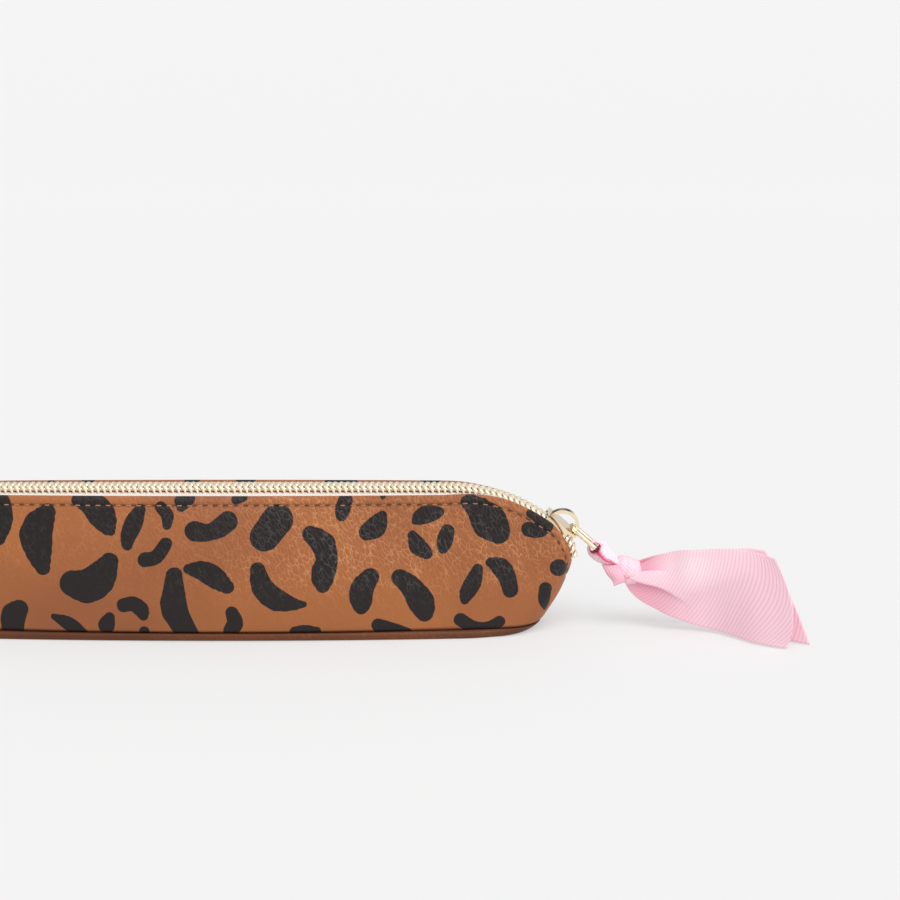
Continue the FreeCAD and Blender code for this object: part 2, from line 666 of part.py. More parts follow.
# Each tail has one heading to the front, dip and lean to the back, in degrees, and stations from the
# link's outer end: x, y and z of the strip's middle line, then its width and thickness
GATHERED = ("sizes.ribbon_fold", "sizes.ribbon_gather")
FANNED = ("sizes.ribbon_fan", "sizes.ribbon")
SPREAD = ("sizes.ribbon_spread", "sizes.ribbon")
FULL = ("sizes.ribbon_width", "sizes.ribbon")
TAILS = {
    "front_tail": ((28, 0, 9), [
        (9.3, -1.3, -7.6, GATHERED),
        (19.4, -2.4, -9.6, FANNED),
        (33.4, -7.5, -10.2, SPREAD),
        (51.9, -18.5, -10.2, FULL),
    ]),
    "back_tail": ((16, -8, 9), [
        (9.3, 1.3, -7.6, GATHERED),
        (19.4, 1.4, -9.2, FANNED),
        (33.4, -2.0, -10.0, SPREAD),
        (56.4, -10.5, -10.0, FULL),
    ]),
}


def tail(name, turns, stations):
    """Tail of the ribbon: a thin strip with flat stretches between its stations."""
    heading, dip, lean = turns
    turned = FreeCAD.Rotation(Z_AXIS, -heading)
    turned = turned.multiply(FreeCAD.Rotation(Y_AXIS, dip))
    turned = turned.multiply(FreeCAD.Rotation(X_AXIS, -lean))
    turned = turned.multiply(FreeCAD.Rotation(CORNER_AXIS, 120))
    rings = []
    for x, y, z, (width, thickness) in stations:
        w, t = size(width) / 2, size(thickness) / 2
        corners = [(-t, -w), (t, -w), (t, w), (-t, w)]
        middle = FreeCAD.Vector(x, y, z)
        rings.append([middle + turned.multVec(FreeCAD.Vector(*corner, 0)) for corner in corners])
    outlines = [rings[0][::-1], rings[-1]]
    for near, far in zip(rings, rings[1:]):
        outlines += [[near[i - 1], near[i], far[i], far[i - 1]] for i in range(len(near))]
    faces = [Part.Face(Part.makePolygon(outline + outline[:1])) for outline in outlines]
    strip = new("Part::Feature", name)
    strip.Shape = Part.Solid(Part.Shell(faces))
    return strip


tails = [tail(name, turns, stations) for name, (turns, stations) in TAILS.items()]
ribbon = piece("ribbon", fuse("ribbon_joined", ribbon_loop, knot, *tails))
place(ribbon, x=RIBBON_X, z=RIBBON_Z)


# Rebuild, test every object, and write one file for each piece

doc.recompute()
for item in doc.Objects:
    if "Invalid" in item.State or "Error" in item.State:
        raise RuntimeError(f"{item.Name} failed: {item.State}")
for item in pieces:
    if item.Shape.isNull() or not item.Shape.isValid():
        raise RuntimeError(f"{item.Label} has no valid shape")

os.makedirs("parts", exist_ok=True)
for item in pieces:
    item.Shape.exportStep(f"parts/{item.Label}.step")
    room = item.Shape.optimalBoundingBox()
    print(f"{item.Label}: {len(item.Shape.Solids)} solids, {item.Shape.Volume:.1f} mm3, "
          f"x {room.XMin:.1f} to {room.XMax:.1f}, y {room.YMin:.1f} to {room.YMax:.1f}, "
          f"z {room.ZMin:.2f} to {room.ZMax:.2f}")
print(f"slider rests at x {size(REST_X):.3f}, z {size(REST_Z):.3f}")
print(f"zip turns about x {size(RIM_X):.3f}, z {size(FALL_Z):.3f}")
print(f"ribbon hangs at x {size(RIBBON_X):.3f}, z {size(RIBBON_Z):.3f}")
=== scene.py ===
# %% [markdown]
# # A zipped pen case with an animal print and a ribbon pull
#
# The case is a slim pouch that stands on a flat base. A coil zip follows its curved rim over both
# ends, and a gold slider carries a wire link and a knotted grosgrain ribbon. Lengths are written in
# millimetres and turned into metres when a mesh is made. X runs along the case to the ribbon, the
# front looks along -Y, and Z is up with the base at zero.

import math

import bpy
import numpy as np
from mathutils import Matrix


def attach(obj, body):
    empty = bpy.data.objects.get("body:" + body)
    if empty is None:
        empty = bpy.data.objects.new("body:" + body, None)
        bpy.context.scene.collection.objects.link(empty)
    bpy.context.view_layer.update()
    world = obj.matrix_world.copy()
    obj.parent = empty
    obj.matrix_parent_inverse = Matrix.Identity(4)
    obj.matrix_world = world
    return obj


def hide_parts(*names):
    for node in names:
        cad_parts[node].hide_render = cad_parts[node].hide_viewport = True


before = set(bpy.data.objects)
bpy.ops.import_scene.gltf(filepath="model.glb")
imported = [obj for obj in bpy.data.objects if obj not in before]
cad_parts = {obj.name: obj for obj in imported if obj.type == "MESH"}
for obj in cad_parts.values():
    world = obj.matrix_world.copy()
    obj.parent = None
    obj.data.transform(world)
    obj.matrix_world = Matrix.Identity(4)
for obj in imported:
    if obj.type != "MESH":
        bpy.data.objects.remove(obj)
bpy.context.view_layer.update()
scene = bpy.context.scene
MM = 0.001
print("frame:", sorted(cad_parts))

# %% [markdown]
# ## Small tools
#
# Every surface is a grid of points that a formula gives from two parameters, so one function joins
# any grid into quads, and one turns points and quads into a piece of the object.

# %%


def quads(rows, cols, round_rows=False, round_cols=False, flip=False):
    """Corners of the quads of a grid: each joins (i, j), (i, j+1), (i+1, j+1) and (i+1, j)."""
    i, j = np.meshgrid(
        np.arange(rows if round_rows else rows - 1),
        np.arange(cols if round_cols else cols - 1),
        indexing="ij",
    )
    after_i, after_j = (i + 1) % rows, (j + 1) % cols
    found = np.stack(
        [i * cols + j, i * cols + after_j, after_i * cols + after_j, after_i * cols + j], -1
    ).reshape(-1, 4)
    return found[:, ::-1] if flip else found


def normals(grid):
    """Unit normals of a grid: the cross product of its slopes along the columns and the rows."""
    across = np.cross(np.gradient(grid, axis=1), np.gradient(grid, axis=0))
    return across / np.maximum(np.linalg.norm(across, axis=-1, keepdims=True), 1e-9)


def unit(v):
    """Vectors brought to length one."""
    return v / np.maximum(np.linalg.norm(v, axis=-1, keepdims=True), 1e-9)


def wavy(p, wave, seed):
    """Smooth noise between about -1 and 1: a sum of six sine waves in fixed random directions."""
    rng = np.random.default_rng(seed)
    ways = unit(rng.normal(size=(6, p.shape[-1]))) * rng.uniform(0.6, 1.7, (6, 1))
    return np.sin(p @ ways.T * (2 * math.pi / wave) + rng.uniform(0, 6.28, 6)).sum(-1) / 3


def step(value, low, high):
    """Smooth step from 0 at low to 1 at high."""
    t = np.clip((value - low) / (high - low), 0, 1)
    return t * t * (3 - 2 * t)


def curve(points, count):
    """Smooth line through points: cubic pieces whose slopes come from the points beside them."""
    points = np.array(points, float)
    knots = np.concatenate([[0], np.cumsum(np.linalg.norm(np.diff(points, axis=0), axis=1))])
    slopes = np.gradient(points, knots, axis=0)
    s = np.linspace(0, knots[-1], count)
    k = np.clip(np.searchsorted(knots, s, side="right") - 1, 0, len(knots) - 2)
    gap = (knots[k + 1] - knots[k])[:, None]
    t = ((s - knots[k])[:, None]) / gap
    return (
        (1 + 2 * t) * (1 - t) ** 2 * points[k]
        + t * (1 - t) ** 2 * gap * slopes[k]
        + t * t * (3 - 2 * t) * points[k + 1]
        + t * t * (t - 1) * gap * slopes[k + 1]
    )


def build(name, points, faces, material, body, stands_for=(), values=None):
    """A piece from points in millimetres and faces, with its material, body and CAD nodes.

    values are named numbers, or vectors, at the points, which the material can read.
    """
    mesh = bpy.data.meshes.new(name)
    mesh.from_pydata((np.asarray(points).reshape(-1, 3) * MM).tolist(), [], np.asarray(faces).tolist())
    for label, numbers in (values or {}).items():
        flat = np.asarray(numbers, np.float32)
        flat = flat.reshape(len(mesh.vertices), -1)
        kind, key = ("FLOAT", "value") if flat.shape[1] == 1 else ("FLOAT_VECTOR", "vector")
        mesh.attributes.new(label, kind, "POINT").data.foreach_set(key, flat.ravel())
    mesh.shade_smooth()
    mesh.materials.append(material)
    piece = bpy.data.objects.new(name, mesh)
    scene.collection.objects.link(piece)
    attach(piece, body)
    if stands_for:
        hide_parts(*stands_for)
    return piece


def join(parts):
    """Several (points, faces) pairs as one pair."""
    starts = np.cumsum([0] + [len(p.reshape(-1, 3)) for p, _ in parts])
    points = np.concatenate([p.reshape(-1, 3) for p, _ in parts])
    return points, np.concatenate([f + s for (_, f), s in zip(parts, starts)])


def sweep(path, section, side):
    """Closed tube: a closed section carried along a path.

    The section's first number is measured along side, its second across side and the path.
    """
    along = unit(np.gradient(path, axis=0))
    side = unit(side - (side * along).sum(-1, keepdims=True) * along)
    up = np.cross(along, side)
    return path[:, None] + section[..., :1] * side[:, None] + section[..., 1:] * up[:, None]


# %% [markdown]
# ## Camera, floor and light
#
# The view is level with the long side, from 16 degrees above, through a long lens. The picture is
# all floor behind the case. A wide high sun, a low one from the right and a pale sky keep the floor
# one tone, and the floor glows a little so that shadows on it stay faint. Two dark bars of the studio
# show only as mirror lines in the metal.

# %%
ELEVATION = math.radians(16)
AIM = np.array((0.0651, 0.0, 0.0526))
DISTANCE = 1.0
camera = bpy.data.objects.new("camera", bpy.data.cameras.new("camera"))
camera.data.lens = 140
camera.data.sensor_width = 36
camera.data.clip_start = 0.05
camera.location = AIM + DISTANCE * np.array((0, -math.cos(ELEVATION), math.sin(ELEVATION)))
camera.rotation_euler = (math.pi / 2 - ELEVATION, 0, 0)
scene.collection.objects.link(camera)
scene.camera = camera
scene.view_settings.view_transform = "Standard"


def srgb(r, g, b):
    """Linear colour of a screen colour given from 0 to 255."""
    c = np.array((r, g, b)) / 255
    c = np.where(c < 0.04045, c / 12.92, ((c + 0.055) / 1.055) ** 2.4)
    return (*c.tolist(), 1.0)


def plain(name, colour, **inputs):
    """Material with one colour; the other inputs are named by the shader's sockets."""
    material = bpy.data.materials.new(name)
    material.use_nodes = True
    shader = material.node_tree.nodes["Principled BSDF"]
    shader.inputs["Base Color"].default_value = colour
    for socket, value in inputs.items():
        shader.inputs[socket.replace("_", " ")].default_value = value
    return material


floor_mesh = bpy.data.meshes.new("floor")
floor_mesh.from_pydata([(-4, -4, 0), (4, -4, 0), (4, 6, 0), (-4, 6, 0)], [], [(0, 1, 2, 3)])
glow = {"Emission_Color": (1, 1, 1, 1), "Emission_Strength": 0.455}
floor_mesh.materials.append(plain("floor", (0.37, 0.37, 0.37, 1), Roughness=0.85, **glow))
floor = bpy.data.objects.new("floor", floor_mesh)
scene.collection.objects.link(floor)

bar_black = plain("dark_bar", (0.01, 0.01, 0.01, 1), Roughness=1.0)
for name, y, low, high in (("bar_behind", 0.6, 0.1, 0.22), ("bar_above_camera", -1.4, 0.6, 1.1)):
    bar_mesh = bpy.data.meshes.new(name)
    bar_mesh.from_pydata([(-1, y, low), (1, y, low), (1, y, high), (-1, y, high)], [], [(0, 1, 2, 3)])
    bar_mesh.materials.append(bar_black)
    bar = bpy.data.objects.new(name, bar_mesh)
    bar.visible_camera = False
    bar.visible_diffuse = False
    bar.visible_shadow = False
    scene.collection.objects.link(bar)


def lamp(name, kind, energy, turn, **settings):
    """Light turned by Euler angles in degrees."""
    light = bpy.data.lights.new(name, kind)
    light.energy = energy
    for key, value in settings.items():
        setattr(light, key, value)
    held = bpy.data.objects.new(name, light)
    held.rotation_euler = [math.radians(t) for t in turn]
    scene.collection.objects.link(held)


lamp("sun", "SUN", 1.5, (24, 8, 0), angle=math.radians(40))
lamp("front_sun", "SUN", 1.1, (66, 0, 58), angle=math.radians(60))

world = bpy.data.worlds.new("sky")
scene.world = world
world.use_nodes = True
sky = world.node_tree.nodes["Background"]
sky.inputs["Color"].default_value = (1.0, 1.0, 1.0, 1)
sky.inputs["Strength"].default_value = 0.6

# %% [markdown]
# ## Surface effects
#
# Each effect is a node group that gives only a mask, a colour or a height, so that any material can
# take it. `wire` joins nodes from a short list: a node's kind, its settings and what feeds it.

# %%


def group(name, inputs, outputs):
    """Empty node group with number sockets; returns its tree, input node and output node."""
    tree = bpy.data.node_groups.new(name, "ShaderNodeTree")
    for label, kind in inputs:
        tree.interface.new_socket(label, in_out="INPUT", socket_type=kind)
    for label, kind in outputs:
        tree.interface.new_socket(label, in_out="OUTPUT", socket_type=kind)
    return tree, tree.nodes.new("NodeGroupInput"), tree.nodes.new("NodeGroupOutput")


def wire(tree, kind, feeds=None, **settings):
    """New node in a tree; feeds gives each input socket a value or another node's output."""
    node = tree.nodes.new(kind)
    for key, value in settings.items():
        setattr(node, key, value)
    for socket, value in (feeds or {}).items():
        if isinstance(value, bpy.types.NodeSocket):
            tree.links.new(value, node.inputs[socket])
        else:
            node.inputs[socket].default_value = value
    return node


def maths(tree, operation, a, b=0.0, clamp=False):
    """Result of one sum on two numbers or sockets."""
    return wire(tree, "ShaderNodeMath", {0: a, 1: b}, operation=operation, use_clamp=clamp).outputs[0]


def ease(tree, value, low, high, to_low=0.0, to_high=1.0):
    """Value eased from one range to another with a smooth step."""
    feeds = {"Value": value, "From Min": low, "From Max": high, "To Min": to_low, "To Max": to_high}
    return wire(tree, "ShaderNodeMapRange", feeds, interpolation_type="SMOOTHSTEP").outputs[0]


def mix(tree, share, a, b):
    """Colour between two colours."""
    node = wire(tree, "ShaderNodeMix", data_type="RGBA")
    for socket, value in ((0, share), (6, a), (7, b)):
        if isinstance(value, bpy.types.NodeSocket):
            tree.links.new(value, node.inputs[socket])
        else:
            node.inputs[socket].default_value = value
    return node.outputs[2]


FLOAT, VECTOR = "NodeSocketFloat", "NodeSocketVector"

# %% [markdown]
# Pebbled grain: leather is covered in small rounded cells with creases between them. The cells are
# drawn out along the height, to about 1.1 by 2.1 mm, and lean to the left. The height is the distance
# to a cell's edge, on coordinates stirred by noise so that the cells lose their straight sides. A
# second noise makes the creases fade in and out along their length.

# %%
grain, grain_in, grain_out = group(
    "pebbled_grain", [("Vector", VECTOR), ("Cells", FLOAT)], [("Height", FLOAT), ("Crease", FLOAT)]
)
drawn = wire(
    grain,
    "ShaderNodeMapping",
    {"Vector": grain_in.outputs[0], "Rotation": (0.0, -0.45, 0.0), "Scale": (1.0, 1.2, 2.1)},
    vector_type="TEXTURE",
).outputs[0]
stir = wire(grain, "ShaderNodeTexNoise", {"Vector": drawn, "Scale": 300.0, "Detail": 1.0})
stirred = wire(
    grain,
    "ShaderNodeMixRGB",
    {"Fac": 0.0008, "Color1": drawn, "Color2": stir.outputs["Color"]},
    blend_type="LINEAR_LIGHT",
).outputs[0]
cells = wire(
    grain,
    "ShaderNodeTexVoronoi",
    {"Vector": stirred, "Scale": grain_in.outputs[1], "Randomness": 0.95},
    feature="DISTANCE_TO_EDGE",
).outputs["Distance"]
pebble = ease(grain, cells, 0.0, 0.32)
fine = {"Vector": grain_in.outputs[0], "Scale": 3200.0, "Detail": 3.0}
pores = wire(grain, "ShaderNodeTexNoise", fine)
height = maths(grain, "ADD", pebble, maths(grain, "MULTIPLY", pores.outputs[0], 0.2))
grain.links.new(height, grain_out.inputs["Height"])
breaks = wire(grain, "ShaderNodeTexNoise", {"Vector": drawn, "Scale": 620.0, "Detail": 1.0}).outputs[0]
edges = ease(grain, cells, 0.0, 0.11, 1.0, 0.0)
lines = maths(grain, "MULTIPLY", edges, ease(grain, breaks, 0.36, 0.6, 0.1, 1.0))
grain.links.new(lines, grain_out.inputs["Crease"])

# %% [markdown]
# Print: the panels carry a number at each point, the distance in millimetres inside the nearest
# spot. Fine noise frays it a little before a narrow step turns it into the spots' mask.

# %%
spots, spots_in, spots_out = group(
    "print_mask", [("Vector", VECTOR), ("Inside", FLOAT)], [("Mask", FLOAT)]
)
fray = wire(spots, "ShaderNodeTexNoise", {"Vector": spots_in.outputs[0], "Scale": 900.0, "Detail": 2.0})
about_zero = maths(spots, "SUBTRACT", fray.outputs[0], 0.5)
frayed = maths(spots, "ADD", spots_in.outputs[1], maths(spots, "MULTIPLY", about_zero, 0.2))
spots.links.new(ease(spots, frayed, -0.1, 0.1), spots_out.inputs["Mask"])

# %% [markdown]
# Weave: ribs across a strip, as broad rounded ridges along its length with narrow grooves between.

# %%
weave, weave_in, weave_out = group(
    "rib_weave", [("Along", FLOAT), ("Across", FLOAT), ("Pitch", FLOAT)], [("Height", FLOAT)]
)
full_turns = maths(weave, "MULTIPLY", weave_in.outputs[0], 2 * math.pi)
turns = maths(weave, "DIVIDE", full_turns, weave_in.outputs[2])
ridge = maths(weave, "MULTIPLY", maths(weave, "ADD", maths(weave, "SINE", turns), 1.0), 0.5)
cross = maths(weave, "SINE", maths(weave, "MULTIPLY", weave_in.outputs[1], 2 * math.pi / 0.42))
weave.links.new(
    maths(weave, "ADD", maths(weave, "POWER", ridge, 0.32), maths(weave, "MULTIPLY", cross, 0.05)),
    weave_out.inputs["Height"],
)

# %% [markdown]
# ## Materials

# %%


def effect(tree, node_group, feeds):
    """A node group placed in a material's tree."""
    return wire(tree, "ShaderNodeGroup", feeds, node_tree=node_group)


def start(name, **inputs):
    """New material: its node tree, its shader and the object's own coordinates."""
    material = plain(name, (1, 1, 1, 1), **inputs)
    tree = material.node_tree
    coords = wire(tree, "ShaderNodeTexCoord").outputs["Object"]
    return material, tree, tree.nodes["Principled BSDF"], coords


def bump(tree, shader, height, strength, distance):
    """Feed a height to a shader's normal."""
    node = wire(tree, "ShaderNodeBump", {"Height": height, "Strength": strength, "Distance": distance})
    tree.links.new(node.outputs[0], shader.inputs["Normal"])


def attribute(tree, name):
    """Node that reads a piece's named values."""
    return wire(tree, "ShaderNodeAttribute", attribute_name=name)


# TAN_LIT and INK_LIT are painted highlight colours for the creases.
TAN, TAN_DEEP, TAN_LIT = srgb(163, 99, 56), srgb(147, 88, 54), srgb(212, 154, 112)
# BROWN is the base's own plain leather, made darker still as painted shade where it curls under.
BROWN, BROWN_DEEP = srgb(104, 57, 32), srgb(87, 48, 28)
INK, INK_LIT = srgb(34, 29, 28), srgb(122, 114, 110)
# The colour of the painted shade in the stitch holes and along the seam.
PAINTED_SHADE_COLOUR = srgb(24, 11, 7)


def leather(name, light, deep, printed):
    """Pebbled leather: a colour that varies slowly, pale along the creases, with spots where printed.

    The pale creases are a painted highlight. It and the grain's bump are strongest at the top and
    towards the right end, where the light falls, and fade elsewhere.
    """
    material, tree, shader, coords = start(name, Roughness=0.46, Specular_IOR_Level=0.22)
    slow = wire(tree, "ShaderNodeTexNoise", {"Vector": coords, "Scale": 28.0, "Detail": 2.0}).outputs[0]
    place = wire(tree, "ShaderNodeSeparateXYZ", {0: coords})
    # along and drawn: 1 towards the right end and the top, where the light falls.
    along = ease(tree, place.outputs[0], -0.05, 0.04, 0.25, 1.0)
    drawn = maths(tree, "MULTIPLY", ease(tree, place.outputs[2], 0.008, 0.026, 0.1, 1.0), along)
    pebbles = effect(tree, grain, {"Vector": coords, "Cells": 900.0})
    highlight_patches = maths(tree, "MULTIPLY", ease(tree, slow, 0.34, 0.62, 0.26, 0.58), drawn)
    crease_highlight = maths(tree, "MULTIPLY", pebbles.outputs["Crease"], highlight_patches)
    skin = mix(tree, ease(tree, slow, 0.3, 0.7), deep, light)
    # Painted highlight: the creases turn pale tan where the light falls.
    skin = mix(tree, crease_highlight, skin, TAN_LIT)
    if printed:
        inside = attribute(tree, "inside_spot").outputs["Fac"]
        mask = effect(tree, spots, {"Vector": coords, "Inside": inside}).outputs[0]
        # Painted highlight on the spots' creases too, as a paler grey.
        ink = mix(tree, maths(tree, "MULTIPLY", crease_highlight, 0.6), INK, INK_LIT)
        skin = mix(tree, mask, skin, ink)
        # Painted shade in the stitch holes, along the stitches and along the seam.
        skin = mix(tree, attribute(tree, "stitch_and_seam_shade").outputs["Fac"], skin, PAINTED_SHADE_COLOUR)
    tree.links.new(skin, shader.inputs["Base Color"])
    bump(tree, shader, maths(tree, "MULTIPLY", pebbles.outputs["Height"], drawn), 0.5, 0.00022)
    return material


printed_leather = leather("printed_leather", TAN, TAN_DEEP, True)
base_leather = leather("plain_leather", BROWN, BROWN_DEEP, False)


def cloth(name, colour, groove_shade, pitch, depth, fold=None, pale=None, **inputs):
    """Ribbed cloth: the colour deepens in the grooves.

    The deeper colour in the grooves is painted shade. A piece's third strip value turns it to the fold
    colour above zero, a painted shade, and to the pale one below, a painted highlight.
    """
    material, tree, shader, coords = start(name, **inputs)
    strip = wire(tree, "ShaderNodeSeparateXYZ", {0: attribute(tree, "strip").outputs["Vector"]})
    ribs = effect(tree, weave, {"Along": strip.outputs[0], "Across": strip.outputs[1], "Pitch": pitch})
    shade = mix(tree, ribs.outputs[0], groove_shade, colour)
    # Painted shade in the folds, and a painted highlight where the value is below zero.
    if fold:
        shade = mix(tree, maths(tree, "MAXIMUM", strip.outputs[2], 0.0), shade, fold)
        shade = mix(tree, maths(tree, "MULTIPLY", strip.outputs[2], -1.0, clamp=True), shade, pale)
    tree.links.new(shade, shader.inputs["Base Color"])
    bump(tree, shader, ribs.outputs[0], 0.6, depth)
    return material


# Tape, lining and ribbon get painted shade in their grooves; the ribbon also a deep pink painted fold
# shade and a pale painted highlight.
tape_cloth = cloth("zip_tape", srgb(240, 232, 228), srgb(224, 212, 206), 0.5, 0.0001, Roughness=0.85)
lining_cloth = cloth("lining", srgb(206, 186, 160), srgb(180, 158, 132), 0.6, 0.0001, Roughness=0.9)
grosgrain = cloth(
    "pink_ribbon", srgb(253, 211, 223), srgb(241, 188, 204), 1.0, 0.00012,
    srgb(226, 70, 122), srgb(252, 238, 241), Roughness=0.6,
)
board = plain("board", srgb(150, 140, 128), Roughness=0.9)
thread = plain("thread", srgb(172, 112, 72), Roughness=0.7)
gold_coil = plain("gold_coil", srgb(247, 232, 206), Roughness=0.3, Metallic=0.55)
gold_metal = plain("gold_metal", srgb(246, 228, 196), Roughness=0.16, Metallic=1.0)

# %% [markdown]
# ## The shell's form
#
# At each height the outline has a long side arc of radius R between two nose arcs of radius r. With
# half length a and half depth d, the arcs touch when R = ((a - r)^2 + d^2 - r^2) / (2 (d - r)). The
# three numbers a, d and r follow the height as curves of the fourth degree through five levels.

# %%
LEVELS = np.array(
    [
        (0.0, 90.0, 14.6, 12.0),
        (12.0, 97.3, 17.0, 8.4),
        (23.0, 100.5, 16.2, 8.0),
        (33.0, 100.5, 12.8, 8.0),
        (42.3, 100.5, 8.6, 7.0),
    ]
)
FORM = [np.polyfit(LEVELS[:, 0], LEVELS[:, k], 4) for k in (1, 2, 3)]
NOSE = 0.055
RIM_Z, RIM_X = 41.3, 65.0
FALL, FALL_TURN, TIP = 46.0, math.radians(42), 16.0
FALL_Z = RIM_Z - FALL
TIP_X = RIM_X + (FALL - TIP) * math.sin(FALL_TURN)
TIP_Z = FALL_Z + (FALL - TIP) * math.cos(FALL_TURN)


def outline(z):
    """Half length, half depth, nose radius and long radius of the outline at a height."""
    a, d, r = (np.polyval(terms, z) for terms in FORM)
    return a, d, r, ((a - r) ** 2 + d**2 - r**2) / (2 * (d - r))


def shell(u, z, inset=0.0):
    """Point on the front half, u from 0 at the left tip round the front to 1 at the right tip.

    The point lies on the outline's arc at an angle that u gives, moved in along the radius by inset.
    """
    a, d, r, long = outline(z)
    turn = np.arctan2(long - d, a - r)
    left, right = u < NOSE, u > 1 - NOSE
    side = np.clip((u - NOSE) / (1 - 2 * NOSE), 0, 1)
    angle = np.where(
        left,
        math.pi + turn * np.clip(u / NOSE, 0, 1),
        np.where(
            right,
            2 * math.pi - turn * np.clip((1 - u) / NOSE, 0, 1),
            math.pi + turn + (math.pi - 2 * turn) * side,
        ),
    )
    nose = left | right
    radius = np.where(nose, r, long) - inset
    x = np.where(left, r - a, np.where(right, a - r, 0.0)) + radius * np.cos(angle)
    y = np.where(nose, 0.0, long - d) + radius * np.sin(angle)
    return np.stack(np.broadcast_arrays(x, y, z), -1)


def wall_y(x, z, inset):
    """Depth of the front wall at a place along the case and a height; zero past its end."""
    a, d, r, long = outline(z)
    far = np.abs(x)
    side = long - d - np.sqrt(np.maximum((long - inset) ** 2 - far**2, 0))
    nose = -np.sqrt(np.maximum((r - inset) ** 2 - (far - (a - r)) ** 2, 0))
    return np.where(far < (a - r) * (1 - r / long), side, nose)


def rim_drop(x, z):
    """Distance below the rim line in side view.

    The line is straight, then falls round an arc of 46 mm, then round a tight arc of 16 mm.
    """
    x = np.abs(x)
    long = FALL - np.hypot(x - RIM_X, z - FALL_Z)
    tip = TIP - np.hypot(x - TIP_X, np.maximum(z - TIP_Z, 0))
    turned = np.arctan2(x - RIM_X, z - FALL_Z)
    return np.where(x < RIM_X, RIM_Z - z, np.where(turned < FALL_TURN, long, tip))


def rim_height(u, drop, inset=0.0):
    """Height at which the wall lies a drop below the rim line, found by halving an interval."""
    low, high = np.full(u.shape, 4.0), np.full(u.shape, RIM_Z)
    for _ in range(40):
        middle = (low + high) / 2
        under = rim_drop(shell(u, middle, inset)[..., 0], middle) > drop
        low, high = np.where(under, middle, low), np.where(under, high, middle)
    return low


# %% [markdown]
# ## Spots
#
# A spot is a chain of circles along its middle line, each (x, height, radius) in the plane of the
# view. A smooth line through them bends the spot, and its radius tapers from each to the next. The
# height runs up the picture from the base's front edge, so it is z cos 16 + y sin 16.

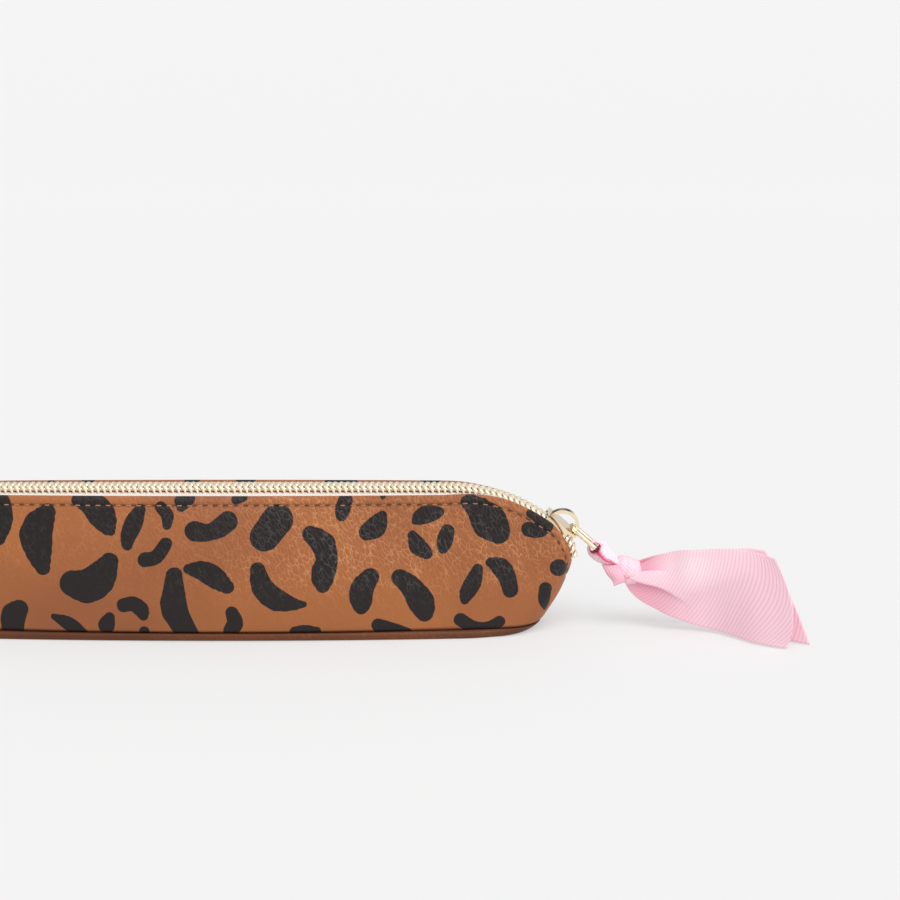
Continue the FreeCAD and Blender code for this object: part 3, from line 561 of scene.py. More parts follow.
# %%
SPOTS = [
    [(-63.4, 35.4, 3.6), (-62.8, 30.4, 3.6), (-62.8, 25, 1.5)],
    [(-49.2, 33, 2.3), (-52.4, 27.6, 4.8), (-51.9, 22, 3.9), (-50.7, 17.2, 2.1)],
    [(-40.7, 36.3, 1.9), (-36.6, 35.2, 3.6), (-33.5, 31.6, 3.8), (-31.9, 28.3, 2.1), (-31, 27.3, 1.1)],
    [(-22.9, 33.6, 1.7), (-24.9, 29.6, 2.6), (-26.2, 25.8, 2.2), (-26.5, 23.7, 1.6)],
    [(-17, 34.3, 1.7), (-15.2, 31.8, 1.9), (-15.3, 29.4, 1.4)],
    [(-11.5, 36.2, 1.7), (-8.8, 36.6, 1.6), (-11.2, 34.4, 1.4)],
    [(-7.2, 27.5, 3), (-3.6, 27.1, 2.3), (-0.6, 28.3, 2.8), (2, 30.4, 2.9)],
    [(4.4, 36.5, 1.4), (6.5, 37, 1.1)],
    [(16.1, 30.7, 4.5), (12.6, 26.1, 4.3)],
    [(-21.5, 19.4, 2.1), (-18.8, 19.8, 1.9), (-16.7, 22, 1.9), (-15.6, 24, 1.8)],
    [(-31.7, 18.9, 2.6), (-34.4, 14.2, 4.6), (-37.6, 11.9, 4.9), (-42.2, 12.6, 3.8)],
    [(-57.9, 5.2, 2.6), (-59.6, 3.2, 3.6), (-59.9, 0, 3.3), (-60.1, -2.8, 3.1)],
    [(-47.9, 3, 0.9), (-44.8, 1.5, 1.9), (-41.6, -0.7, 2), (-39.9, -2.3, 1.9)],
    [(-31.9, 2.9, 1.5), (-32.9, 0.6, 2.5)],
    [(-27.9, 6.4, 1.9), (-24.9, 6.7, 2.1), (-22.7, 5, 2.2), (-22.2, 3.3, 1.4)],
    [(-22.2, -1.2, 1.5)],
    [(-13.1, 14.9, 2.4), (-13.3, 10.6, 3.1), (-13.5, 6, 4), (-11.9, 2, 3.6), (-9.6, -2.6, 3.2)],
    [(-9.2, 16.8, 1.4), (-5.7, 16.4, 2.7), (-1.6, 14.4, 3.2), (1.8, 11.7, 2.1)],
    [(3, 4.2, 1.9), (3.9, 1.2, 2.3), (2.4, -1, 2)],
    [(10.5, 16.6, 2.2), (11.3, 12.7, 3), (14.7, 8.6, 3.4), (18.8, 7, 2.4), (23.5, 6.6, 0.9)],
    [(20.7, -1.2, 1.4), (22.7, -1, 1.7), (27.1, -1.2, 1.3)],
    [(25.4, 26.6, 2.4), (28.9, 24.2, 3.6), (30.1, 19.8, 3.1), (29, 15.2, 3.5), (29, 12, 2)],
    [(35.3, 36.2, 2.2), (34.6, 33.5, 2.2), (34.3, 31.8, 1.6)],
    [(45.9, 31.9, 1.4), (44.1, 28.8, 3), (41.4, 27.3, 2.4)],
    [(42.3, 14.4, 2.7), (40.2, 11.2, 3.4), (39.7, 7.4, 3.1), (39.7, 5.6, 1.9)],
    [(50.8, 14.3, 2.5), (54.4, 11.2, 3.2), (57.1, 6.5, 3.7), (57.9, 3.9, 2.4)],
    [(55, 30.2, 0.8), (57.1, 31.8, 2.5), (60.2, 32.6, 2.3), (62.3, 32.9, 1.3)],
    [(54.4, 26.3, 1.4), (56.2, 23.1, 2.5), (58.3, 21.4, 1.9)],
    [(64.3, 27.5, 2), (63.6, 24.7, 2.3), (63.2, 22.6, 1.5)],
    [(70.8, 35.7, 2.5), (73.3, 33.5, 3.4), (76.8, 29.6, 5), (78.5, 27.6, 3.8)],
    [(69.6, 36, 1.6), (74.4, 35.6, 1.5)],
    [(88, 32.6, 1.4), (92.7, 29.4, 2.1), (90.5, 28.1, 2.5), (87.6, 27.9, 2.1)],
    [(73, 16.6, 1.6), (71.5, 12.7, 2.5), (70, 9.4, 2.1), (69.4, 7.6, 1.2)],
    [(77, 18.5, 1.6), (79.4, 17.3, 2.7), (81.4, 14.2, 2.5), (82.4, 10.6, 2.3)],
    [(68.1, 2, 2), (71.9, -0.2, 1.9), (76.3, -0.2, 1.6), (79.3, 1.5, 1.6)],
    [(44.6, 0.4, 2), (48.9, -0.7, 2), (53.3, -1.2, 0.9)],
    [(92.4, 10.8, 1.9), (92.1, 7.5, 1.7), (92.2, 5, 0.5)],
    [(96.2, 16.9, 2.5)],
    [(45.9, 37.3, 0.8)],
    [(-70.5, 31, 2.4), (-73.5, 27, 3.4), (-74, 22.5, 2.2)],
    [(-66, 17, 2.6), (-70, 12.5, 4), (-74.5, 11, 2.6)],
    [(-80, 34, 2), (-83.5, 30, 3.2), (-85.5, 26.5, 2)],
    [(-79, 17, 2.2), (-83, 18.5, 2.7), (-86.5, 16, 2)],
    [(-71, 3, 1.8), (-75.5, 1.5, 2.3), (-79.5, 3.5, 1.6)],
    [(-89, 8, 1.7), (-88, 4.5, 2)],
    [(-94, 22, 2.3), (-95.5, 18, 2)],
]


def inside_spots(x, height):
    """Distance inside the nearest spot: the tapered radius less the distance to a middle line."""
    here = np.stack([x, height], -1)
    here = here + 0.12 * np.stack([wavy(here, 11.0, 1), wavy(here, 11.0, 2)], -1)
    best = np.full(x.shape, -50.0)
    for chain in SPOTS:
        middle = curve(chain, 8) if len(chain) > 1 else np.array(chain * 2, float)
        for (*p, r), (*q, s) in zip(middle, middle[1:]):
            way = np.subtract(q, p)
            share = np.clip((here - p) @ way / max(way @ way, 1e-6), 0, 1)
            gap = np.linalg.norm(here - p - share[..., None] * way, axis=-1)
            best = np.maximum(best, r + (s - r) * share - gap)
    return best


def view_height(points):
    """Height of points in the plane of the view, in millimetres."""
    return points[..., 2] * math.cos(ELEVATION) + points[..., 1] * math.sin(ELEVATION)


# %% [markdown]
# ## Panels
#
# A panel runs from the base seam to a lip just above the rim line. On the long falls the front lip
# stands higher, and the back lip lies lower throughout. Below the lip the skin swells over the folded
# edge and dips along the stitches, and at the top it rolls over on a half circle to its inner side.
# The seam at its foot is painted dark, as painted shade where the panel meets the base. Stitches are
# short rounded threads laid along the dip, with painted shade for the hole between two and a fainter
# painted shade line along them.

# %%
ROLL = 0.6
LIP = 0.35
STITCH_DROP, STITCH_PITCH = 2.3, 2.9
SEAM_Z = 2.25
COLUMNS, ROWS = 520, 92
MIRROR = np.array((1.0, -1.0, 1.0))
columns = np.linspace(0, 1, COLUMNS)


def on_fall(x):
    """1 on the long falls, eased to 0 along the straight rim and at the two tips."""
    return step(np.abs(x), 62, 82) * (1 - step(np.abs(x), 94, 99.5))


def at_runs(spans, run, values):
    """Vectors along a line read off at given runs."""
    return np.stack([np.interp(spans, run, values[:, k]) for k in range(3)], -1)


def side_skin(level, rise):
    """Skin of one side, its dark marks, and the stitches' places, directions and outward ways.

    level is how far the lip is lifted along the rim, and rise how much more on the long falls. The
    marks are painted shade: in the stitch holes, along the stitches and along the seam.
    """
    stand = level + rise * on_fall(shell(columns, rim_height(columns, ROLL))[:, 0])
    top = rim_height(columns, ROLL - LIP - stand)
    heights = SEAM_Z + (top - SEAM_Z) * np.linspace(0, 1, ROWS)[:, None] ** 0.9
    wall = shell(np.broadcast_to(columns, heights.shape), heights)
    drop = rim_drop(wall[..., 0], wall[..., 2]) + stand
    above_seam = wall[..., 2] - SEAM_Z
    folded = 0.22 * np.exp(-(((drop - 1.3) / 0.8) ** 2))
    sewn = 0.3 * np.exp(-(((drop - STITCH_DROP) / 0.3) ** 2))
    soft = 0.22 * wavy(wall, 46.0, 3) * np.clip(above_seam / 8, 0, 1) * np.clip(drop / 6, 0, 1)
    outward = normals(wall)
    tucked = 0.7 * np.exp(-above_seam / 0.35)
    panel = wall + outward * (folded - sewn + soft - tucked)[..., None]

    edge = panel[-1]
    over = unit(np.cross(outward[-1], unit(np.gradient(edge, axis=0))))
    roll = np.linspace(0, math.pi, 9)[1:, None, None]
    rolled = edge - ROLL * outward[-1] + ROLL * (np.cos(roll) * outward[-1] + np.sin(roll) * over)
    inner = rolled[-1] - np.linspace(0, 2.2, 4)[1:, None, None] * over
    skin = np.concatenate([panel, rolled, inner])

    line = shell(columns, rim_height(columns, STITCH_DROP - stand))
    run = np.concatenate([[0], np.cumsum(np.linalg.norm(np.diff(line, axis=0), axis=1))])
    phase = np.cos(2 * math.pi * run / STITCH_PITCH) * 0.5 + 0.5
    # Painted shade: a faint line along the stitches, darker in the holes between them, and along the
    # seam.
    near = np.exp(-(((rim_drop(skin[..., 0], skin[..., 2]) + stand - STITCH_DROP) / 0.34) ** 2))
    painted_shade = near * (0.14 + 0.66 * step(phase, 0.35, 0.7))
    painted_shade = np.maximum(painted_shade, np.exp(-(((skin[..., 2] - SEAM_Z) / 0.8) ** 4)))
    painted_shade[ROWS:] = 0
    spans = (np.arange(2, run[-1] // STITCH_PITCH - 2) + 0.5) * STITCH_PITCH
    lift = outward[np.argmin(np.abs(drop - STITCH_DROP), axis=0), np.arange(COLUMNS)]
    lift = unit(at_runs(spans, run, lift))
    lead = unit(at_runs(spans, run, np.gradient(line, axis=0)))
    return skin, painted_shade, (at_runs(spans, run, line) - 0.12 * lift, lead, lift)


def beads(places, along, up, length, radius, around_count=6):
    """Row of capsules: each is a ring profile, round at the ends, set along its own axis."""
    t = np.array([-1.0, -0.92, -0.7, 0.0, 0.7, 0.92, 1.0])
    fat = np.array([0.05, 0.55, 0.95, 1.0, 0.95, 0.55, 0.05]) * radius
    angle = np.linspace(0, 2 * math.pi, around_count, endpoint=False)
    side = np.cross(along, up)
    ring = fat[:, None, None] * np.stack([np.cos(angle), np.sin(angle)], -1)
    points = (
        places[:, None, None]
        + (t * length / 2)[:, None, None] * along[:, None, None]
        + ring[..., :1] * side[:, None, None]
        + ring[..., 1:] * up[:, None, None]
    )
    face = quads(len(t), around_count, round_cols=True, flip=True)
    each = len(t) * around_count
    faces = (face[None] + each * np.arange(len(places))[:, None, None]).reshape(-1, 4)
    return points, faces


for side, level, rise, turn, shift in (("front", 0.0, 1.4, 1, 0.0), ("back", -0.3, -0.6, -1, -4.0)):
    skin, painted_shade, stitches = side_skin(level, rise)
    mirror = MIRROR if turn < 0 else 1
    inside = inside_spots(turn * skin[..., 0] + shift, view_height(skin))
    marks = {"inside_spot": inside, "stitch_and_seam_shade": painted_shade}
    build(
        side + "_panel_skin", skin * mirror, quads(*skin.shape[:2])[:, ::turn], printed_leather, "case",
        [side + "_panel"], marks,
    )
    threads, thread_faces = beads(*stitches, 1.5, 0.2)
    thread_faces = thread_faces[:, ::turn]
    build(side + "_stitches", threads * mirror, thread_faces, thread, "case")
    print(side, "panel grid:", skin.shape[:2], "stitches:", len(stitches[0]))

# %% [markdown]
# ## Base, board and lining
#
# The base panel's edge turns up round the foot of the walls. Its profile is a list of (inset, height)
# that every point of the outline follows, drawn further in towards the two ends, and it is closed
# underneath by a flat sole.

# %%
PROFILE = [
    (0.9, 2.36), (0.1, 2.26), (-0.3, 1.98), (-0.55, 1.5),
    (-0.7, 0.9), (-0.6, 0.4), (-0.1, 0.08), (1.2, 0.0),
]
once = np.linspace(0, 1, 260)
taper = 2.2 * step(np.abs(2 * once - 1), 0.78, 0.98)
FOOT_TOP = PROFILE[0][1]
half_rings = [
    shell(once, np.full_like(once, z), inset + taper * (1 - z / FOOT_TOP)) for inset, z in PROFILE
]
half_rings.append(half_rings[-1] * (1, 0, 1))
half_rings = np.array(half_rings)
half_rings[..., 2] = np.array([z for _, z in PROFILE] + [0.0])[:, None]
foot, foot_faces = join(
    [
        (half_rings, quads(*half_rings.shape[:2], flip=True)),
        (half_rings * MIRROR, quads(*half_rings.shape[:2])),
    ]
)
build("base_skin", foot, foot_faces, base_leather, "case", ["base_panel"])

INSIDE, INSIDE_Z, INSIDE_DROP = 1.85, 2.8, 1.35
inside_top = rim_height(once, INSIDE_DROP, INSIDE)
inside_heights = INSIDE_Z + (inside_top - INSIDE_Z) * np.linspace(0, 1, 24)[:, None]
liner = shell(np.broadcast_to(once, inside_heights.shape), inside_heights, INSIDE)
liner_strip = np.stack([liner[..., 2], liner[..., 0], 0 * liner[..., 0]], -1)
liner_faces = quads(*liner.shape[:2], flip=True)
for label, turn, node in (("front_liner", 1, "front_lining"), ("back_liner", -1, "back_lining")):
    placed = liner * (MIRROR if turn < 0 else 1)
    build(
        label, placed, liner_faces[:, ::turn], lining_cloth, "case",
        [node], {"strip": liner_strip},
    )
ring = liner[0]
sole = np.array([ring * (1, share, 1) for share in (1, 0.5, 0, -0.5, -1)])
sole_strip = np.stack([sole[..., 1], sole[..., 0], 0 * sole[..., 0]], -1)
build(
    "base_liner", sole, quads(*sole.shape[:2]), lining_cloth, "case",
    ["base_lining"], {"strip": sole_strip},
)
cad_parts["base_board"].data.materials.clear()
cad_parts["base_board"].data.materials.append(board)

# %% [markdown]
# ## Zip tapes
#
# The zip's line is the rim line by its run from the middle of the case: straight, then round the two
# falls. A tape is a thin strip along that line, from beside the coil out to the wall. The front one
# turns up there inside the lip.

# %%
SLIDER_RUN = RIM_X + FALL * FALL_TURN


def zip_line(run, lower=0.0):
    """Place on the rim line let down by an amount, by its run: x, 0 and z, then the fall's angle."""
    far = np.abs(run)
    fall = np.clip((far - RIM_X) / FALL, 0, FALL_TURN)
    tip_fall = np.clip(far - SLIDER_RUN, 0, None) / TIP
    angle = fall + tip_fall
    x = np.minimum(far, RIM_X) + (FALL - lower) * np.sin(fall)
    x = x + (TIP - lower) * (np.sin(angle) - np.sin(fall))
    z = FALL_Z + (FALL - lower) * np.cos(fall) + (TIP - lower) * (np.cos(angle) - np.cos(fall))
    return np.stack([np.sign(run) * x, 0 * x, z], -1), np.sign(run) * angle


TAPE_REACH = SLIDER_RUN + 9.5
tape_run = np.linspace(-TAPE_REACH, TAPE_REACH, 420)
for side, flat, rise, turn in (("front", 0.6, 1.75, 1), ("back", 0.0, 0.0, -1)):
    parts, strips = [], []
    for lower, way in ((0.7, 1), (1.2, -1)):
        line, _ = zip_line(tape_run, lower)
        across = np.linspace(0, 1, 11)[:, None]
        layer = np.repeat(line[None], len(across), axis=0)
        layer[..., 1] = -1.1 + (np.minimum(wall_y(line[:, 0], line[:, 2], 1.15), -1.2) + 1.1) * across
        turned_up = (flat + rise * on_fall(line[:, 0])) * step(across, 0.35, 0.85)
        layer[..., 2] += turned_up - 0.25 * np.sin(math.pi * across) * (lower < 1)
        parts.append((layer, quads(*layer.shape[:2], flip=way > 0)))
        along = np.broadcast_to(tape_run, layer.shape[:2])
        strips.append(np.stack([along, layer[..., 1], 0 * along], -1))
    tape, faces = join(parts)
    strip = np.concatenate([s.reshape(-1, 3) for s in strips])
    mirror = MIRROR if turn < 0 else 1
    build(
        side + "_tape", tape * mirror, faces[:, ::turn], tape_cloth, "case",
        [side + "_zip_tape"], {"strip": strip},
    )

# %% [markdown]
# ## Coil rows
#
# A turn of the coil is a bent wire: it rises from the tape's edge, flattens over the top, where it
# nearly meets the next turn, and dips at its head by the middle of the zip. A cord fills the row
# inside its turns. The other row's turns lie half a pitch along. Ahead of the slider its post holds
# the two rows apart, so there each row is pushed aside by a smooth step.

# %%
PITCH = 1.77
PARTING, PARTING_RUN = 1.2, 4.8
BEND = np.array(
    [(0.62, -2.35, -0.75), (0.5, -2.62, -0.1), (0.28, -2.5, 0.5), (0.0, -1.9, 0.92), (-0.22, -1.1, 1.0),
     (-0.42, -0.3, 0.85), (-0.5, 0.25, 0.4), (-0.5, 0.25, -0.3)]
)
WIRE_WIDE = np.array((0.3, 0.36, 0.54, 0.76, 0.76, 0.6, 0.46, 0.4))
WIRE_HIGH = np.array((0.36, 0.38, 0.4, 0.4, 0.4, 0.4, 0.38, 0.36))


def parted(ahead):
    """How far a row is pushed aside at a distance ahead of the slider's middle: a smooth step."""
    return PARTING * step(ahead, -PARTING_RUN, 0)


def coil(name, side, offset, node):
    """One row: the same bent wire set at every pitch of the zip's line, and the cord inside it."""
    angle = np.linspace(0, 2 * math.pi, 10, endpoint=False)
    section = np.stack([np.outer(WIRE_WIDE, np.cos(angle)), np.outer(WIRE_HIGH, np.sin(angle))], -1)
    wire_turn = sweep(BEND, section, np.broadcast_to((1.0, 0.0, 0.0), BEND.shape))
    runs = np.arange(-SLIDER_RUN - 8.0 + offset, SLIDER_RUN + 9.0, PITCH)
    places, fall = zip_line(runs)
    places[:, 1] = -parted(runs - SLIDER_RUN)
    along = np.stack([np.cos(fall), 0 * fall, -np.sin(fall)], -1)
    up = np.stack([np.sin(fall), 0 * fall, np.cos(fall)], -1)
    points = (
        places[:, None, None]
        + wire_turn[..., :1] * along[:, None, None]
        + wire_turn[..., 1:2] * np.array((0.0, 1.0, 0.0))
        + wire_turn[..., 2:] * up[:, None, None]
    )
    face = quads(*wire_turn.shape[:2], round_cols=True, flip=True)
    each = wire_turn.shape[0] * wire_turn.shape[1]
    faces = (face[None] + each * np.arange(len(runs))[:, None, None]).reshape(-1, 4)
    cord_path = places - 1.3 * np.array((0.0, 1.0, 0.0)) + 0.05 * up
    cord_section = np.stack([0.7 * np.cos(angle), 0.5 * np.sin(angle)], -1)
    cord = sweep(cord_path, cord_section[None], np.broadcast_to((0.0, 1.0, 0.0), cord_path.shape))
    cord_faces = quads(*cord.shape[:2], round_cols=True, flip=True)
    points, faces = join([(points, faces), (cord, cord_faces)])
    if side > 0:
        points, faces = points * MIRROR, faces[:, ::-1]
    build(name, points, faces, gold_coil, "case", [node])
    return len(runs)


front_turns = coil("front_coil_row", -1, 0.0, "front_coil")
back_turns = coil("back_coil_row", 1, PITCH / 2, "back_coil")
print("turns:", front_turns, back_turns)

# %% [markdown]
# ## Slider, bail and link
#
# The slider's own frame stands on the zip's line at the end of the long fall: its first axis runs
# down the line, its third stands off it. The body and bail keep their built shapes with rounded
# edges; the link is a round wire bent into a long ring.

# %%
REST = np.array((RIM_X + FALL * math.sin(FALL_TURN), 0.0, FALL_Z + FALL * math.cos(FALL_TURN)))
DOWN = np.array((math.cos(FALL_TURN), 0.0, -math.sin(FALL_TURN)))
OFF = np.array((math.sin(FALL_TURN), 0.0, math.cos(FALL_TURN)))
ASIDE = np.array((0.0, 1.0, 0.0))


def at_slider(points):
    """Points of the slider's own frame in the row frame."""
    return REST + points[..., :1] * DOWN + points[..., 1:2] * ASIDE + points[..., 2:] * OFF


for node, width in (("slider_body", 0.3), ("slider_bail", 0.26)):
    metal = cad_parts[node]
    metal.data.materials.clear()
    metal.data.materials.append(gold_metal)
    rounding = metal.modifiers.new("rounding", "BEVEL")
    rounding.width = width * MM
    rounding.segments = 3
    rounding.limit_method = "ANGLE"
    rounding.angle_limit = math.radians(35)
    rounding.harden_normals = True

LINK_HALF, LINK_FROM, LINK_TO, LINK_UP = 2.15, 2.9 + 2.15, 13.0 - 2.15, 3.2
bend = np.linspace(math.pi / 2, 3 * math.pi / 2, 25)
inner_end = np.stack([LINK_FROM + LINK_HALF * np.cos(bend), LINK_HALF * np.sin(bend)], -1)
outer_end = np.stack([LINK_TO - LINK_HALF * np.cos(bend), -LINK_HALF * np.sin(bend)], -1)
ring_path = np.concatenate([inner_end, outer_end])
ring_path = np.concatenate([ring_path, np.full((len(ring_path), 1), LINK_UP)], -1)
closed = np.concatenate([ring_path[-1:], ring_path, ring_path[:1]])
turn = np.linspace(0, 2 * math.pi, 16, endpoint=False)
wire_ring = 0.65 * np.stack([np.cos(turn), np.sin(turn)], -1)
link = sweep(closed, wire_ring[None], np.broadcast_to((0.0, 0.0, 1.0), closed.shape))[1:-1]
build(
    "wire_link", at_slider(link), quads(*link.shape[:2], round_rows=True, round_cols=True, flip=True),
    gold_metal, "puller", ["pull_link"],
)

# %% [markdown]
# ## Ribbon
#
# One grosgrain strip, 25 mm wide, is looped through the link, knotted, and ends in two tails. A tail
# is spanned between two smooth edges. Where it leaves the knot it is pleated: across the strip the
# surface swings forward and doubles back over itself, and the pleat fades along the tail. Each point
# carries its place on the strip, along and across, and how deep in a fold it lies, from 0 to 1, which
# paints the fold's shade deep pink; below zero it is painted paler, a painted highlight where the strip
# faces the light.

# %%
FRONT_LOW = [
    (115.5, -2.0, 13.6), (116.7, -2.4, 11.4), (118.8, -3.0, 9.3), (124.5, -4.5, 6.3),
    (130.7, -6.5, 3.7), (134.4, -7.6, 2.5), (140.7, -9.4, 1.4), (146.6, -13.0, 0.9),
    (152.4, -17.2, 0.6), (160.6, -21.3, 0.4),
]
FRONT_HIGH = [
    (118.6, -2.0, 18.2), (120.8, -2.4, 19.6), (122.6, -2.8, 20.8), (126.5, -3.6, 22.6),
    (131.6, -5.2, 24.4), (139.3, -7.4, 25.4), (145.6, -10.2, 26.1), (151.9, -13.5, 26.0),
    (157.0, -17.0, 25.3),
]
BACK_LOW = [
    (116.6, 0.5, 14.4), (121.0, 1.0, 9.5), (128.0, 1.0, 5.2), (135.0, 0.0, 2.8), (145.0, -3.5, 1.4),
    (156.8, -11.3, 0.6), (162.1, -15.2, 0.45), (167.6, -18.7, 0.4),
]
BACK_HIGH = [
    (117.7, 0.5, 18.4), (122.3, 1.5, 19.8), (130.0, 1.2, 21.6), (138.0, 0.2, 22.9), (146.3, -3.5, 24.0),
    (151.1, -4.8, 24.6), (155.0, -6.2, 24.5),
]


def pleat(p, t, overlap, forward, ends):
    """Fold across a strip: how far it doubles back (share of the width) and comes forward (mm)."""
    fade = 1 - step(p, 0.25 * ends, ends)
    back = -overlap * fade * t * np.exp(-t * t / 2)
    shut = (0.5 + 0.5 * np.tanh(t / 0.7)) * np.exp(-((np.maximum(t, 0) / 7) ** 2))
    return back, forward * fade * shut


def tail(low, high, rows, cols, folds, bow, corner, ridge):
    """Grid of a tail between its two edges, with its folds, a bowed cut end and a bent corner.

    A fold lies at a share of the width that changes along the tail, at + lean p + bend p^2. The ribs
    lean back over the lower half, as the strip was drawn askew through the knot. A soft ridge runs
    on from the fold's end.
    """
    p, q = np.meshgrid(np.linspace(0, 1, cols), np.linspace(0, 1, rows))
    bottom, over = curve(low, cols), curve(high, cols)
    share, front, deep = q.copy(), 1.0 * np.sin(math.pi * q) * step(p, 0.1, 0.6), 0 * q
    for at, lean, bend, width, overlap, forward, ends in folds:
        under = (at + lean * p + bend * p**2 - q) * np.sign(forward)
        back, ahead = pleat(p, -under * np.sign(forward) / width, overlap, forward, ends)
        share, front = share + back, front + ahead
        # Painted shade: the layer under a pleat is painted deep pink, fading along the tail.
        pleat_shade = step(under, -0.02, 0.02) * (0.5 + 0.5 * np.exp(-np.abs(under) / 0.05))
        deep = np.maximum(deep, pleat_shade * (1 - step(p, 0.3 * ends, 1.1 * ends)))
    front = front + 0.9 * np.sin(8.5 * p - 3.2 * q + 0.6) * step(p, 0.1, 0.4)
    crest = np.tanh((q + 0.03 - 0.95 * p) / 0.1) * step(p, 0.28, 0.42) * (1 - step(p, 0.55, 0.9))
    front = front + ridge * crest
    grid = bottom + (over - bottom) * share[..., None]
    ahead = unit(np.gradient(grid, axis=1))
    face = unit(np.cross(ahead, over - bottom))
    bowed = bow * 4 * q * (1 - q) * step(p, 0.65, 1.0)
    grid = grid + ahead * bowed[..., None] + face * front[..., None]
    grid[..., 1] -= corner * np.exp(-q / 0.06) * step(p, 0.82, 1.0)
    length = np.linalg.norm(np.diff((bottom + over) / 2, axis=0), axis=1).sum()
    # Painted highlight: the upper middle of the tail, which faces the light, is painted paler.
    deep = deep - 0.6 * np.exp(-(((p - 0.42) / 0.2) ** 2) - ((q - 0.78) / 0.26) ** 2)
    return grid, np.stack([p * length + 9 * (1 - q) ** 1.5, q * 25, 0.7 * deep], -1)


FRONT_FOLDS = [
    (0.4, 0.55, -2.2, 0.05, 0.085, 1.9, 0.45),
    (0.68, 0.25, -1.0, 0.04, 0.05, -1.1, 0.3),
]
BACK_FOLDS = [(0.5, 0, 0, 0.07, 0.05, -0.8, 0.4)]
front_tail = tail(FRONT_LOW, FRONT_HIGH, 80, 160, FRONT_FOLDS, bow=4.6, corner=0.5, ridge=0.7)
back_tail = tail(BACK_LOW, BACK_HIGH, 40, 110, BACK_FOLDS, bow=2.2, corner=0.0, ridge=0.0)

# %% [markdown]
# The loop's middle follows a hairpin round the link's end, one row for each (x, z, half width, crown,
# curl) below. The crown lifts the strip's middle outward, so that it looks puffed, and the curl draws
# its two edges inward, so that only a slit shows between the two lobes.

# %%
HAIRPIN = [
    (114.6, 18.4, 2.6, 0.6, 0.4), (112.0, 20.2, 3.6, 0.9, 0.8), (109.9, 22.0, 3.9, 1.3, 1.6),
    (109.0, 23.4, 3.2, 1.3, 1.8), (108.1, 24.3, 1.2, 1.2, 0.0), (106.8, 24.7, 0.9, 0.9, -0.1),
    (105.6, 23.7, 0.9, 0.8, 0.0), (105.7, 22.3, 1.1, 0.8, 0.2), (107.0, 21.1, 2.5, 1.0, 1.9),
    (109.6, 20.0, 3.5, 1.2, 1.9), (112.3, 18.6, 3.3, 1.2, 1.2), (114.6, 16.8, 2.4, 0.8, 0.2),
]
hairpin = curve(HAIRPIN, 96)
s, w = np.meshgrid(np.linspace(0, 1, 96), np.linspace(-1, 1, 41))
line = np.stack([hairpin[:, 0], 0 * hairpin[:, 0], hairpin[:, 1]], -1)
half, crown, curl = hairpin[:, 2:].T
loop_out = np.cross((0.0, 1.0, 0.0), unit(np.gradient(line, axis=0)))
wrinkle = 0.16 * np.cos(2 * math.pi * 2.2 * w + 3.0 * s) * step(half, 1.4, 3.4)
rise = crown * np.sqrt(1 - 0.98 * w**2) - curl * w**4 * np.where(w < 0, 1.0, 0.6) + wrinkle
loop = line + loop_out * rise[..., None]
loop[..., 1] += half * w - 0.4 * step(half, 1.2, 3.0)
loop_length = np.linalg.norm(np.diff(line, axis=0), axis=1).sum()
# Painted shade at the loop's curled edges, along the slit, and a painted highlight on its puffed
# middle.
loop_strip = np.stack([s * loop_length, w * 12.5, step(np.abs(w), 0.86, 0.98) - 0.5 * (1 - w**2)], -1)

# %% [markdown]
# The knot is a band wrapped once round the gathered strip, a little higher where it overlaps, so its
# ribs run round it on a slant, with a small dented tuck in front that is painted deep pink as painted
# shade; the band's edges are painted a little deeper as painted shade too. A folded corner of the strip
# hangs below it.

# %%
KNOT = np.array((116.1, -0.6, 16.7))
KNOT_WAY = unit(np.array((1.0, -0.12, -0.42)))
KNOT_SIDE = unit(np.cross(KNOT_WAY, (0.0, 1.0, 0.0)))
KNOT_RADIUS, KNOT_HALF = 3.5, 4.0
a, w = np.meshgrid(np.linspace(0, 2 * math.pi, 141), np.linspace(-1, 1, 49))
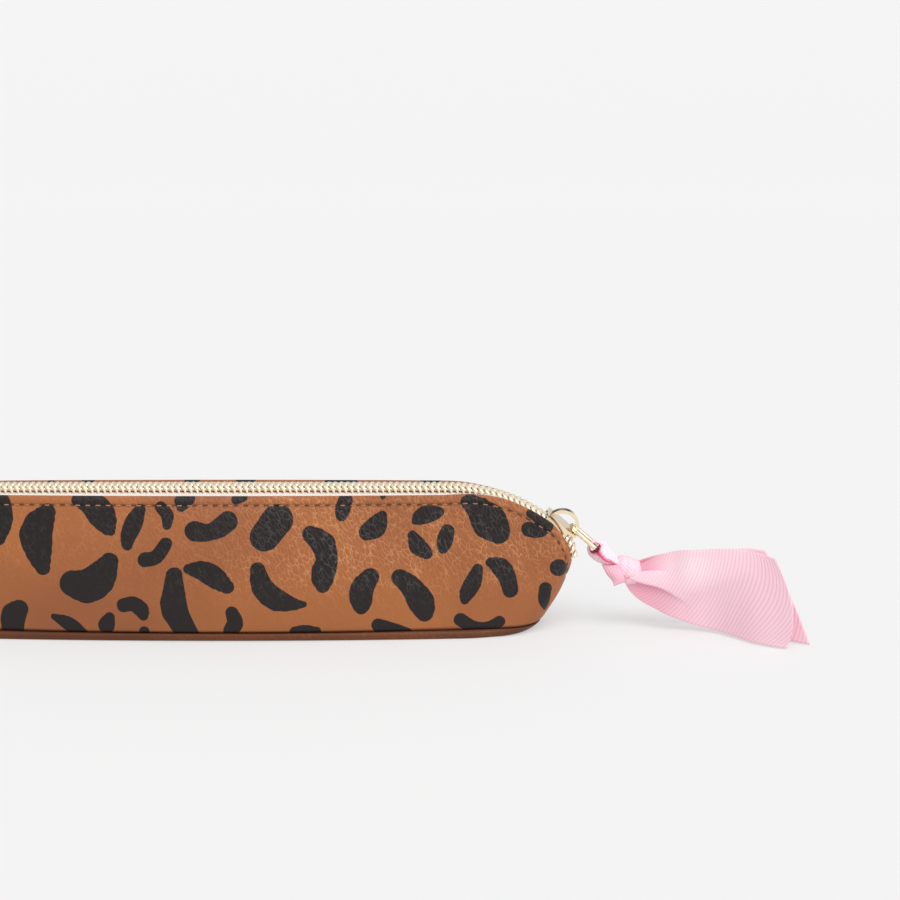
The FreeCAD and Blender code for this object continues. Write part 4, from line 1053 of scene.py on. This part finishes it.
# tuck: a small dent in front of the knot, also painted deep pink as painted shade.
tuck = np.exp(-(((a - 2.12) / 0.24) ** 2) - ((w - 0.33 - 0.63 * (a - 2.12)) / 0.1) ** 2)
bulge = KNOT_RADIUS * (1 - 0.4 * np.abs(w) ** 3.2) + 0.5 * a / (2 * math.pi) - 0.5 * tuck
bulge = bulge + 0.12 * np.cos(2 * math.pi * 1.5 * w + 2 * a)
around_knot = a + 2.5 - 0.5 * w
knot = (
    KNOT
    + KNOT_HALF * w[..., None] * KNOT_WAY
    + (bulge * np.cos(around_knot))[..., None] * KNOT_SIDE
    + (0.92 * bulge * np.sin(around_knot))[..., None] * np.cross(KNOT_SIDE, KNOT_WAY)
)
# Painted shade: the knot's tuck and the edges of its band are painted deeper pink.
knot_strip = np.stack([a * 4.0, w * 12.5, 0.3 * step(np.abs(w), 0.85, 1.0) + 0.9 * tuck], -1)

s, t = np.meshgrid(np.linspace(0, 1, 14), np.linspace(0, 1, 14))
corners = np.array([(114.2, -4.0, 19.4), (108.7, -3.2, 19.2), (112.2, -4.6, 13.2), (115.4, -4.4, 14.6)])
weights = np.stack([(1 - s) * (1 - t), s * (1 - t), s * t, (1 - s) * t], -1)
flap = weights @ corners
flap[..., 1] -= 0.8 * np.sin(math.pi * s) * np.sin(math.pi * t)
flap[..., 0] -= 0.5 * s * np.sin(2 * math.pi * t) * (t > 0.5)
# The flap is painted a quarter of the way to the deep pink of the painted fold shade.
flap_strip = np.stack([6 * s, 7 * t, 0.25 + 0 * s], -1)

# %%
parts = [front_tail, back_tail, (loop, loop_strip), (knot, knot_strip), (flap, flap_strip)]
cloth_points, cloth_faces = join([(grid, quads(*grid.shape[:2])) for grid, _ in parts])
strip = np.concatenate([place.reshape(-1, 3) for _, place in parts])
ribbon = build(
    "grosgrain_ribbon", cloth_points, cloth_faces, grosgrain, "ribbon_pull",
    ["ribbon"], {"strip": strip},
)
thick = ribbon.modifiers.new("thickness", "SOLIDIFY")
thick.thickness = 0.35 * MM
thick.offset = 0
corner = cloth_points[cloth_faces]
across = np.cross(corner[:, 2] - corner[:, 0], corner[:, 3] - corner[:, 1])
area = np.linalg.norm(across, axis=1).sum() / 2
print("ribbon area:", round(area), "square mm")
